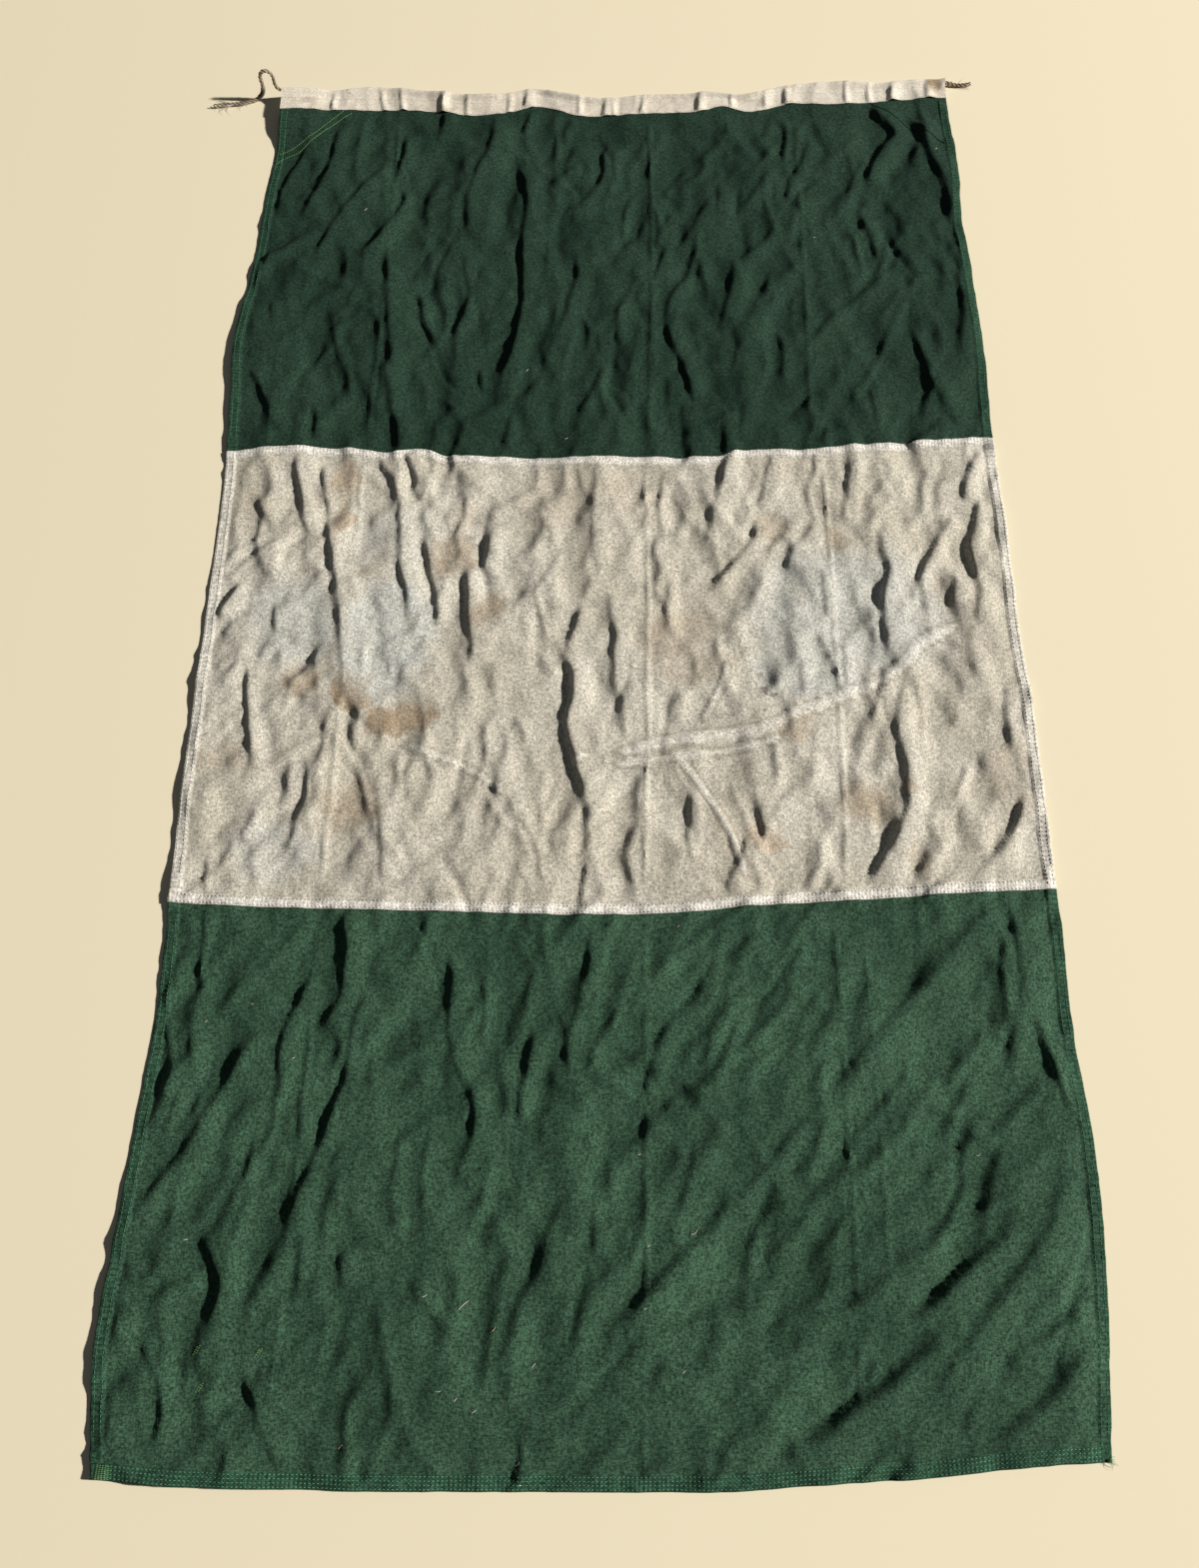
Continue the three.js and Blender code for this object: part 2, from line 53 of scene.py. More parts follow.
MM = 0.001
BODY = "root"
Plan = tuple[tuple[float, float], ...]
Colour = tuple[float, float, float]
Array = np.ndarray
Mesh = tuple[Array, Sequence]
Piece = bpy.types.Object
Socket = bpy.types.NodeSocket

# ---- Sizes shared by the sewn pieces, in metres ----
CLOTH = 0.9 * MM
CANVAS = 0.8 * MM
LAYER_GAP = 0.2 * MM
SIDE_HEM = 12 * MM
FLY_HEM = 14 * MM
SEAM_LAP = 11 * MM
HEADING_WIDTH = 38 * MM
HEADING_TUCK = 24 * MM
HALF_WIDTH = 465 * MM
ROPE_DIAMETER = 5 * MM
STITCH_PITCH = 4 * MM
SHEET_CREASE_DEG = 50.0
THREAD_CREASE_DEG = 80.0


# ---- Shapes by numbers: lines, noise and folds ----
def smoothstep(low: float, high: float, value: Array) -> Array:
    """Eases from 0 at low to 1 at high.

    Args:
        low: Where the ease starts.
        high: Where it ends.
        value: The values to ease.

    Returns:
        The eased values, 0 to 1.
    """
    part = np.clip((value - low) / (high - low), 0.0, 1.0)
    return part * part * (3.0 - 2.0 * part)


@dataclass(frozen=True)
class EdgeLine:
    """A smooth line on the ground through given stations, (position, offset) in millimetres."""

    stations: Plan
    shift: float = 0.0

    def at(self, position: Array) -> Array:
        """The line's offset at a position along it.

        Args:
            position: Positions in metres.

        Returns:
            Offsets in metres.
        """
        knots = np.array([s[0] for s in self.stations]) * MM
        values = np.array([s[1] for s in self.stations]) * MM
        slopes = np.gradient(values, knots)
        slopes[1:-1] = (values[2:] - values[:-2]) / (knots[2:] - knots[:-2])
        where = np.clip(position, knots[0], knots[-1])
        k = np.clip(np.searchsorted(knots, where, side="right") - 1, 0, len(knots) - 2)
        span = knots[k + 1] - knots[k]
        t = (where - knots[k]) / span
        held = (1 + 2 * t) * (1 - t) ** 2 * values[k] + t * t * (3 - 2 * t) * values[k + 1]
        bent = t * (1 - t) ** 2 * slopes[k] - t * t * (1 - t) * slopes[k + 1]
        return held + bent * span + self.shift

    def shifted(self, distance: float) -> "EdgeLine":
        """The same line moved by a distance in metres."""
        return EdgeLine(self.stations, self.shift + distance)


@dataclass(frozen=True)
class Crumple:
    """Seeded soft noise: fine wrinkles of one size, height and direction."""

    seed: int
    across: float
    along: float
    height: float
    turn: float = 0.0
    ridged: bool = False
    reach: tuple[float, float, float, float] | None = None
    bend: float = 0.5
    bend_size: float = 0.11
    kink: float = 0.45

    def at(self, x: Array, y: Array) -> Array:
        """The wrinkles' height.

        Args:
            x: Positions along the heading, in metres.
            y: Positions towards the heading, in metres.

        Returns:
            Heights in metres, about 0 in the mean unless ridged.
        """
        c, s = math.cos(math.radians(self.turn)), math.sin(math.radians(self.turn))
        broad = self.bend * gradient_noise(x / self.bend_size, y / self.bend_size, self.seed + 77)
        across, along = self.across * MM, self.along * MM
        kink = self.kink * gradient_noise(x / (1.3 * across), y / (0.8 * across), self.seed + 78)
        u = (x * c + y * s) / across + broad + kink
        v = (-x * s + y * c) / along + broad - kink
        noise = gradient_noise(u, v, self.seed)
        shape = (0.55 - 2.4 * np.abs(noise)) if self.ridged else 1.6 * noise
        if self.reach is not None:
            left, right, low, high = (m * MM for m in self.reach)
            shape = shape * window(x, left, right) * window(y, low, high)
        return shape * self.height * MM


@dataclass(frozen=True)
class CreaseField:
    """Seeded short creases: sharp ridges and valleys, each kinked once, over a part of the cloth."""

    seed: int
    count: int
    box: tuple[float, float, float, float]
    turn: float = 0.0
    spread: float = 22.0
    length: tuple[float, float] = (50, 150)
    width: tuple[float, float] = (7, 16)
    height: tuple[float, float] = (0.6, 1.9)
    valleys: float = 0.3

    def at(self, x: Array, y: Array) -> Array:
        """The creases' height.

        Args:
            x: Positions along the heading, in metres.
            y: Positions towards the heading, in metres.

        Returns:
            Heights in metres, below 0 in the valleys.
        """
        draw = np.random.default_rng(self.seed)
        left, right, low, high = self.box
        total = np.zeros_like(x)
        for _ in range(self.count):
            middle = np.array([draw.uniform(left, right), draw.uniform(low, high)])
            angle = math.radians(draw.normal(self.turn, self.spread))
            run = draw.uniform(*self.length) * np.array([math.sin(angle), -math.cos(angle)])
            kink = draw.normal(0, 0.09) * np.array([run[1], -run[0]])
            line = np.array([middle - run / 2, middle + kink, middle + run / 2]) * MM
            width, height = draw.uniform(*self.width) * MM, draw.uniform(*self.height) * MM
            hand = -1.0 if draw.random() < self.valleys else 1.0
            near = (x > line[:, 0].min() - width) & (x < line[:, 0].max() + width)
            near &= (y > line[:, 1].min() - width) & (y < line[:, 1].max() + width)
            if near.any():
                distance, along = signed_distance(line, x[near], y[near])
                tent = np.clip(1 - np.abs(distance) / width, 0, 1) ** 1.35
                total[near] += hand * height * tent * np.sin(math.pi * np.clip(along, 0, 1)) ** 0.7
        return total


def window(value: Array, low: float, high: float, soft: float = 0.07) -> Array:
    """1 between low and high, easing to 0 outside over a soft width."""
    return smoothstep(low - soft, low + soft, value) * (1 - smoothstep(high - soft, high + soft, value))


def gradient_noise(u: Array, v: Array, seed: int) -> Array:
    """Seeded gradient noise on a unit lattice.

    Args:
        u: First coordinates.
        v: Second coordinates.
        seed: Chooses the lattice.

    Returns:
        Values from about -0.7 to 0.7.
    """
    size = 64
    angles = np.random.default_rng(seed).uniform(0, 2 * math.pi, (size, size))
    iu, iv = np.floor(u).astype(int), np.floor(v).astype(int)
    fu, fv = u - iu, v - iv

    def corner(du: int, dv: int) -> Array:
        """The slope of one lattice corner at each point."""
        angle = angles[(iu + du) % size, (iv + dv) % size]
        return np.cos(angle) * (fu - du) + np.sin(angle) * (fv - dv)

    eu, ev = (f * f * f * (f * (f * 6 - 15) + 10) for f in (fu, fv))
    low = corner(0, 0) * (1 - eu) + corner(1, 0) * eu
    high = corner(0, 1) * (1 - eu) + corner(1, 1) * eu
    return low * (1 - ev) + high * ev


class Depth(Enum):
    """How a fold stands: height, width of its steep side and of its gentle side, in mm."""

    DEEP = (7.6, 7.5, 34.0)
    FULL = (5.6, 6.5, 28.0)
    SOFT = (4.2, 6.0, 22.0)
    FAINT = (3.0, 5.5, 16.0)
    CRISP = (2.6, 5.0, 12.0)
    BROAD = (5.0, 20.0, 38.0)
    PLEAT = (2.0, 3.0, 9.0)
    BLADE = (4.4, 6.5, 16.0)
    PRESSED = (1.8, 3.5, 5.5)
    SLANT = (10.0, 11.0, 44.0)


@dataclass(frozen=True)
class Fold:
    """A fold of the cloth: a steep side along its path, and a gentle side to the right of it.

    The path follows the foot of the fold's shaded side, in millimetres on the ground. The steep
    side always looks towards -X, because the cloth was pulled that way when it was laid down.
    """

    depth: Depth
    path: Plan
    ends: float = 0.18
    foot: float = 1.4
    uneven: float = 0.5
    uneven_size: float = 0.055

    def line(self) -> Array:
        """The path in metres with its corners rounded."""
        points = np.array(self.path, float) * MM
        for _ in range(2):
            cut = [[0.75 * a + 0.25 * b, 0.25 * a + 0.75 * b] for a, b in pairs(points)]
            points = np.vstack([points[:1], *cut, points[-1:]])
        return points

    def at(self, x: Array, y: Array) -> Array:
        """The fold's height.

        Args:
            x: Positions along the heading, in metres.
            y: Positions towards the heading, in metres.

        Returns:
            Heights in metres, 0 beyond the fold.
        """
        height, steep, gentle = (m * MM for m in self.depth.value)
        line = self.line()
        reach = steep + gentle
        near = (x > line[:, 0].min() - reach) & (x < line[:, 0].max() + reach)
        near &= (y > line[:, 1].min() - reach) & (y < line[:, 1].max() + reach)
        result = np.zeros_like(x)
        if near.any():
            distance, along = signed_distance(line, x[near], y[near])
            side = distance - steep / 2
            rise = np.clip(1 + side / steep, 0, 1) ** self.foot
            fall = 0.5 * (1 + np.cos(math.pi * np.clip(side / gentle, 0, 1)))
            taper = smoothstep(-0.02, self.ends, along) * (1 - smoothstep(1 - self.ends, 1.02, along))
            waver = gradient_noise(x[near] / self.uneven_size, y[near] / self.uneven_size, 31)
            result[near] = height * rise * fall * taper * (1 + self.uneven * waver)
        return result


def pairs(points: Sequence) -> Iterable[tuple]:
    """Each point with the one after it."""
    return zip(points[:-1], points[1:])


def signed_distance(line: Array, x: Array, y: Array) -> tuple[Array, Array]:
    """How far points are from a line, and how far along it.

    Args:
        line: The line's points in metres.
        x: Point positions along the heading.
        y: Point positions towards the heading.

    Returns:
        The distance, positive on the side that faces +X, and the share of the length, 0 to 1.
    """
    overall = line[-1] - line[0]
    hand = 1.0 if overall[1] < 0 or (overall[1] == 0 and overall[0] < 0) else -1.0
    lengths = np.hypot(*(line[1:] - line[:-1]).T)
    walked = np.concatenate([[0.0], np.cumsum(lengths)])
    best = np.full(x.shape, np.inf)
    sign, along = np.ones(x.shape), np.zeros(x.shape)
    for k, (a, b) in enumerate(pairs(line)):
        d = b - a
        part = np.clip(((x - a[0]) * d[0] + (y - a[1]) * d[1]) / max(lengths[k] ** 2, 1e-12), 0, 1)
        gap = np.hypot(x - a[0] - part * d[0], y - a[1] - part * d[1])
        closer = gap < best
        best = np.where(closer, gap, best)
        cross = d[0] * (y - a[1]) - d[1] * (x - a[0])
        sign = np.where(closer, np.where(cross * hand >= 0, 1.0, -1.0), sign)
        along = np.where(closer, (walked[k] + part * lengths[k]) / walked[-1], along)
    return best * sign, along


def fold(depth: Depth, *path: tuple[float, float], ends: float = 0.18) -> Fold:
    """A fold along a path of ground points in millimetres."""
    return Fold(depth, path, ends)


# ---- How the whole flag lies ----
D, F, S, N, C, P = Depth.DEEP, Depth.FULL, Depth.SOFT, Depth.FAINT, Depth.CRISP, Depth.PLEAT

HOIST_FOLDS = (
    fold(S, (-412, 725), (-430, 690), (-443, 655), (-446, 600)),
    fold(F, (-373, 750), (-381, 719), (-385, 669), (-400, 635), (-412, 595)),
    fold(N, (-362, 668), (-374, 664), (-385, 658), (-392, 645)),
    fold(F, (-300, 692), (-318, 672), (-335, 650), (-358, 608), (-381, 558), (-392, 522)),
    fold(S, (-286, 746), (-283, 715), (-290, 685), (-294, 654), ends=0.2),
    fold(F, (-284, 652), (-279, 623), (-290, 596), (-312, 560), (-330, 530)),
    fold(D, (-166, 782), (-169, 719), (-188, 677), (-196, 631), (-196, 600), (-190, 560)),
    fold(S, (-235, 788), (-237, 750), (-241, 725)),
    fold(S, (-204, 708), (-200, 669), (-192, 623)),
    fold(N, (-119, 788), (-121, 768), (-128, 750)),
    fold(D, (-135, 715), (-131, 685), (-121, 654), (-115, 615), (-121, 592), (-121, 531), (-119, 503),
         (-117, 453), (-125, 399), (-138, 349), (-146, 305), ends=0.18),
    fold(F, (-19, 735), (-17, 710), (-19, 661), (-38, 635), (-54, 611), (-58, 585)),
    fold(S, (-86, 655), (-73, 676), (-46, 693)),
    fold(C, (-50, 640), (-30, 655), (-4, 672)),
    fold(N, (-60, 780), (-72, 755), (-70, 730)),
    fold(D, (346, 812), (358, 785), (373, 762), (375, 750), (358, 731), (346, 708), (335, 685),
         (333, 650)),
    fold(D, (392, 785), (413, 767), (417, 746), (419, 719), (435, 685), (438, 631), (440, 592)),
    fold(F, (441, 600), (444, 531), (440, 503), (442, 453), (435, 418), (430, 380)),
    fold(S, (219, 780), (231, 754), (227, 735), (223, 700), ends=0.2),
    fold(S, (137, 660), (135, 631), (133, 606)),
    fold(N, (338, 719), (319, 685), (308, 654), (300, 608)),
    fold(S, (265, 746), (246, 700), (227, 661), (227, 625)),
    fold(N, (204, 688), (185, 650), (165, 618)),
    fold(N, (96, 696), (77, 669), (62, 638)),
    fold(S, (77, 615), (62, 585), (50, 554)),
    fold(S, (127, 642), (112, 608), (100, 581), (88, 562), (69, 535)),
    fold(S, (208, 588), (185, 554), (154, 531)),
    fold(S, (318, 610), (327, 585), (335, 565), (338, 532)),
    fold(N, (-446, 540), (-455, 510), (-462, 476)),
    fold(N, (-410, 525), (-408, 492)),
    fold(D, (-300, 548), (-292, 503), (-290, 465), (-286, 426), (-281, 388), (-277, 365), (-286, 353),
         (-277, 318), (-269, 280), (-254, 232), ends=0.16),
    fold(S, (-196, 548), (-192, 503), (-185, 468), (-192, 438), (-208, 395)),
    fold(S, (-250, 478), (-242, 434), (-231, 407), (-229, 385)),
    fold(N, (-169, 354), (-162, 322)),
    fold(F, (-54, 545), (-46, 511), (-56, 476), (-62, 438), (-73, 411), (-92, 350)),
    fold(N, (-131, 242), (-127, 284)),
    fold(S, (-369, 300), (-360, 276), (-362, 246), ends=0.2),
    fold(N, (-437, 455), (-427, 415)),
    fold(S, (-454, 357), (-431, 315), (-404, 252)),
    fold(N, (-375, 492), (-352, 484), (-340, 470)),
    fold(N, (-345, 440), (-350, 400), (-340, 362)),
    fold(S, (-12, 370), (-23, 330), (-46, 290)),
    fold(S, (73, 570), (54, 518), (48, 488)),
    fold(S, (100, 514), (73, 480), (65, 449), (63, 430)),
    fold(F, (64, 440), (69, 399), (88, 361), (97, 305)),
    fold(F, (154, 540), (148, 495), (144, 465), (133, 430)),
    fold(Depth.BROAD, (238, 548), (205, 503), (178, 468), (160, 426), (154, 399), (150, 349), (140, 300)),
    fold(S, (168, 338), (156, 288), (152, 247)),
    fold(S, (134, 298), (135, 249), (133, 230), ends=0.15),
    fold(C, (385, 518), (377, 492), (365, 468), (350, 438), (338, 407), (327, 376), (304, 342),
         (286, 306)),
    fold(S, (327, 497), (304, 468), (269, 438), (250, 409)),
    fold(S, (369, 428), (381, 395), (385, 357), (396, 326), (421, 298)),
    fold(S, (406, 292), (369, 261), (352, 250)),
    fold(N, (315, 338), (319, 276)),
    fold(N, (261, 280), (250, 248)),
    fold(N, (20, 640), (8, 600), (12, 560)),
    fold(N, (-90, 560), (-84, 520), (-90, 480)),
    fold(N, (205, 420), (212, 380), (204, 340)),
    fold(N, (10, 470), (2, 430), (8, 390)),
)

CENTRE_FOLDS = (
    fold(F, (-379, 228), (-381, 208), (-371, 174), (-365, 147), (-357, 112), ends=0.15),
    fold(S, (-344, 216), (-348, 193), (-337, 166), (-335, 135), ends=0.2),
    fold(D, (-338, 150), (-335, 135), (-329, 105), (-321, 66), (-315, 39), (-308, -7), (-302, -58),
         (-296, -93), (-273, -120), (-246, -146), ends=0.14),
    fold(F, (-287, 228), (-265, 197), (-254, 170), (-251, 139), (-248, 101), (-244, 66), (-235, 39),
         (-231, -4), ends=0.16),
    fold(F, (-252, 228), (-238, 201), (-233, 189), (-244, 170), ends=0.16),
    fold(S, (-221, 120), (-215, 89), (-206, 51), (-200, 24), (-200, -10)),
    fold(F, (-171, 76), (-167, 39), (-163, 8), (-158, -18), (-154, -60), ends=0.2),
    fold(S, (-135, 130), (-146, 101), (-148, 66)),
    fold(N, (-80, 138), (-72, 120), (-74, 100)),
    fold(S, (-21, 224), (-21, 178), (-23, 139), (-21, 101), (-15, 58), ends=0.2),
    fold(F, (-6, 46), (2, 0), (4, -57), (4, -82), ends=0.2),
    fold(S, (-36, 28), (-42, -7), (-54, -36), ends=0.2),
    fold(D, (-60, -33), (-46, -58), (-42, -89), (-52, -112), (-44, -147), (-38, -174), (-29, -205),
         (-19, -240), ends=0.14),
    fold(N, (-173, 175), (-175, 139), (-187, 112)),
    fold(S, (-423, 164), (-408, 139), (-394, 122)),
    fold(N, (-450, 84), (-396, 124), (-369, 147)),
    fold(N, (-450, 50), (-420, 88), (-388, 110)),
    fold(S, (-381, 26), (-383, -2), (-380, -20)),
    fold(S, (-448, 6), (-436, 30), (-428, 52)),
    fold(F, (137, 234), (129, 197), (123, 166), (113, 135), (111, 112), ends=0.15),
    fold(S, (190, 234), (183, 208), (179, 181), (165, 155)),
    fold(N, (241, 238), (241, 204)),
    fold(S, (283, 232), (279, 193), (273, 158), (271, 135)),
    fold(N, (333, 216), (315, 185), (298, 158)),
    fold(N, (312, 168), (298, 128)),
    fold(F, (444, 252), (427, 220), (417, 193), (415, 170), ends=0.16),
    fold(S, (435, 181), (427, 151), (419, 124), (408, 101)),
    fold(D, (316, 143), (310, 116), (313, 97), (321, 78), (308, 47), (308, 8), (311, -32), ends=0.14),
    fold(S, (308, -45), (296, -82), (285, -119)),
    fold(D, (329, -56), (315, -97), (311, -128), (319, -155), (319, -185), (319, -212), (304, -243),
         (285, -274), (266, -304), ends=0.16),
    fold(S, (236, 145), (227, 120), (208, 101), (200, 74)),
    fold(F, (169, 147), (165, 116), (142, 85), (113, 52)),
    fold(N, (242, 74), (244, 12)),
    fold(S, (404, 158), (377, 116), (362, 82), (346, 55)),
    fold(S, (396, 74), (388, 28)),
    fold(F, (415, 120), (415, 89), (423, 55), (413, 4)),
    fold(S, (408, -24), (404, -58)),
    fold(N, (-69, -305), (-81, -251), (-96, -235), (-112, -208)),
    fold(S, (-408, -47), (-404, -89), (-396, -135), (-385, -182)),
    fold(S, (-333, -159), (-327, -189), (-325, -208), (-335, -235), (-335, -270)),
    fold(C, (-369, -172), (-335, -151), (-317, -134)),
    fold(N, (-285, -120), (-279, -159)),
    fold(N, (-330, -100), (-352, -86), (-362, -70)),
    fold(S, (-250, -212), (-242, -251), (-235, -305)),
    fold(N, (-212, -144), (-200, -174), (-192, -192)),
    fold(N, (-375, -224), (-391, -262)),
    fold(N, (-23, -278), (-32, -328)),
    fold(N, (-423, -278), (-419, -324)),
    fold(S, (147, -243), (135, -282), (119, -309)),
    fold(S, (224, -247), (219, -282), (203, -308)),
    fold(F, (447, -189), (431, -235), (408, -266), (367, -300)),
    fold(N, (212, -40), (212, -86)),
    fold(N, (154, -196), (162, -239), (165, -254)),
    fold(N, (387, -162), (369, -204)),
    fold(N, (-64, 44), (-96, 36), (-128, 30)),
    fold(N, (60, 200), (52, 160), (58, 120)),
    fold(N, (70, 70), (62, 30), (66, -20)),
    fold(N, (90, -190), (82, -240), (86, -290)),
    fold(C, (-444, -60), (-428, -44), (-410, -30)),
    fold(N, (440, -60), (434, -110), (438, -150)),
)

# Narrow tucks pressed flat into the centre band: the finish paints a highlight on their tops and shade just
# beside them
PAINTED_LIGHT_TUCKS = (
    fold(Depth.BLADE, (0, -153), (50, -137), (115, -126), (169, -121), (192, -105), (246, -82),
         (300, -58), (331, -35), (338, -15), (369, 1), (402, 17), ends=0.1),
    fold(C, (0, -166), (69, -156), (131, -147), (195, -130), ends=0.1),
    fold(C, (-230, -150), (-194, -165), (-154, -178), (-112, -208), ends=0.1),
    fold(C, (-46, -166), (-23, -154)),
    fold(C, (60, -150), (100, -200), (128, -250), (142, -300), ends=0.1),
    fold(C, (96, -118), (122, -70), (128, -40)),
)

FLY_FOLDS = (
    fold(S, (-417, -331), (-413, -369), (-417, -419)),
    fold(N, (-308, -342), (-346, -388), (-402, -448)),
    fold(F, (-274, -334), (-269, -377), (-267, -400), (-269, -427), (-290, -457), ends=0.2),
    fold(S, (-299, -398), (-315, -435), (-323, -462), (-325, -485), (-321, -523)),
    fold(F, (-344, -455), (-365, -485), (-375, -512), (-392, -538), (-400, -565), (-438, -619),
         (-452, -636), ends=0.2),
    fold(N, (-185, -334), (-192, -365), (-209, -399)),
    fold(S, (-165, -373), (-158, -415), (-160, -454), (-150, -492), (-138, -519)),
    fold(F, (-140, -505), (-127, -530), (-131, -562), (-148, -604)),
    fold(S, (-241, -405), (-254, -442), (-254, -477), (-262, -515), (-273, -550), (-285, -596)),
    fold(F, (-262, -520), (-273, -550), (-288, -598), (-306, -648)),
    fold(S, (-73, -450), (-85, -515), (-88, -550)),
    fold(S, (-18, -354), (-23, -415), (-42, -469), (-38, -505)),
    fold(N, (-127, -396), (-123, -431), (-127, -469)),
    fold(S, (64, -379), (38, -412), (13, -438)),
    fold(S, (105, -389), (92, -415), (65, -438), (46, -477), (37, -512)),
    fold(N, (132, -439), (115, -477), (99, -504)),
    fold(F, (86, -560), (82, -590), (77, -608), (72, -629)),
    fold(F, (414, -306), (369, -346), (335, -388), (292, -431), (246, -481), (215, -519), (177, -554),
         (150, -588), (115, -619), (104, -633), (77, -656), (50, -683), (35, -702), (3, -764), ends=0.14),
    fold(S, (270, -395), (254, -427), (231, -446), (208, -469), (177, -496), (164, -526)),
    fold(S, (301, -478), (285, -504), (262, -531), (229, -560)),
    fold(S, (403, -345), (402, -396), (399, -450)),
    fold(Depth.BLADE, (414, -314), (418, -358), (418, -408), (407, -442), (398, -487)),
    fold(S, (424, -428), (436, -469), (446, -504), (455, -534)),
    fold(F, (-384, -653), (-367, -672), (-356, -695), (-366, -728)),
    fold(S, (-371, -681), (-408, -698), (-448, -715)),
    fold(S, (-301, -661), (-315, -691), (-324, -713)),
    fold(N, (-288, -644), (-286, -691)),
    fold(N, (-246, -660), (-244, -695)),
    fold(F, (-329, -765), (-312, -798), (-296, -829), (-284, -848)),
    fold(Depth.BROAD, (-220, -800), (-192, -793), (-173, -779), (-146, -776), (-115, -783), (-77, -789),
         (-38, -787), (-8, -779), (38, -768), (77, -758), (115, -748), (156, -740)),
    fold(N, (-77, -813), (-73, -829), (-78, -850)),
    fold(S, (-12, -614), (-13, -668)),
    fold(S, (10, -753), (50, -725), (100, -710), (146, -704), (171, -696)),
    fold(D, (152, -719), (200, -714), (242, -695), (269, -672), (321, -640)),
    fold(D, (248, -723), (300, -706), (327, -679), (362, -652), (398, -632)),
    fold(Depth.SLANT, (163, -831), (200, -806), (231, -783), (269, -760), (308, -729), (323, -711),
         ends=0.2),
    fold(Depth.SLANT, (290, -779), (319, -745), (346, -714), (377, -679), (400, -652), (423, -625),
         (436, -584), ends=0.18),
    fold(Depth.SLANT, (340, -816), (377, -795), (408, -772), (427, -748), (452, -723), ends=0.2),
    fold(D, (363, -746), (392, -733), (423, -714), (443, -694)),
    fold(S, (263, -830), (292, -810), (309, -794)),
    fold(S, (118, -844), (131, -822), (156, -804)),
    fold(N, (34, -847), (42, -833), (98, -828)),
    fold(N, (94, -769), (135, -772), (194, -778)),
    fold(Depth.BROAD, (-60, -560), (-40, -600), (-44, -650), (-70, -700)),
    fold(N, (-420, -520), (-428, -560)),
    fold(N, (-200, -560), (-206, -610), (-200, -650)),
    fold(N, (-180, -690), (-160, -720), (-130, -736)),
    fold(N, (180, -620), (220, -590), (260, -575)),
    fold(N, (300, -590), (340, -560), (384, -545)),
    fold(N, (200, -360), (180, -400), (150, -430)),
    fold(N, (330, -500), (362, -470), (380, -440)),
    fold(S, (-430, -740), (-410, -760), (-396, -790), (-400, -830)),
    fold(N, (-240, -840), (-225, -820), (-190, -815)),
)

# The lengthwise creases that storage pressed into the cloth, each with its bands' low and high ends
PRESSED_FOLDS = tuple(
    fold(Depth.PRESSED, (x, high), (x + 3, (low + high) / 2), (x - 2, low), ends=0.08)
    for x, low, high in (
        (-300, -840, -350), (36, -845, -345), (232, -835, -340), (262, -830, -340), (-300, -310, 215),
        (38, -315, 215), (250, -300, 240), (-296, 250, 770), (44, 250, 770), (240, 280, 790),
    )
)

EDGE_FOLDS = (
    fold(Depth.BROAD, (-478, 800), (-476, 740), (-474, 700), (-476, 670)),
    fold(Depth.BROAD, (-478, 640), (-481, 560), (-486, 480), (-492, 400)),
    fold(Depth.BROAD, (-474, -560), (-478, -640), (-482, -715), (-476, -800), (-466, -842)),
)

UPPER_BANDS = (-560, 560, -350, 940)
FLY_BAND = (-560, 560, -940, -350)
CRUMPLES = (
    Crumple(11, 80, 200, 4.2, turn=-8, reach=UPPER_BANDS),
    Crumple(12, 50, 130, 4.0, turn=-12, ridged=True, reach=UPPER_BANDS),
    Crumple(13, 27, 74, 2.0, turn=12, reach=UPPER_BANDS),
    Crumple(19, 18, 40, 0.7, turn=-22, reach=UPPER_BANDS),
    Crumple(14, 80, 200, 4.2, turn=-10, reach=(-560, 40, -940, -350)),
    Crumple(15, 74, 240, 5.6, turn=-46, reach=(40, 560, -940, -400)),
    Crumple(16, 46, 160, 4.8, turn=-42, ridged=True, reach=(0, 560, -940, -350)),
    Crumple(17, 46, 130, 4.4, turn=-20, ridged=True, reach=(-560, 0, -940, -350)),
    Crumple(18, 27, 80, 2.2, turn=-34, reach=FLY_BAND),
    Crumple(21, 18, 40, 0.7, turn=-14, reach=FLY_BAND),
    Crumple(20, 10, 14, 0.25, turn=20),
)
CREASES = (
    CreaseField(71, 90, (-440, 440, 250, 780), turn=-16, height=(1.4, 4.0)),
    CreaseField(72, 36, (-440, 440, 250, 780), turn=48, spread=20, height=(0.8, 2.4)),
    CreaseField(73, 90, (-330, 440, -320, 230), turn=-6, spread=18, height=(1.2, 3.2)),
    CreaseField(74, 40, (-330, 440, -320, 230), turn=40, spread=14, height=(1.0, 2.6)),
    CreaseField(75, 40, (-330, 440, -320, 230), turn=-46, spread=14, height=(1.0, 2.6)),
    CreaseField(79, 34, (-440, -320, -320, 190), turn=-48, spread=14, length=(40, 110), height=(1.2, 3.2)),
    CreaseField(76, 70, (-440, 40, -840, -345), turn=-22, height=(1.4, 4.0)),
    CreaseField(77, 90, (0, 440, -830, -345), turn=-44, spread=12, length=(60, 190), height=(1.6, 4.2)),
    CreaseField(78, 36, (-440, 440, -840, -345), turn=42, spread=22, height=(0.8, 2.4)),
)


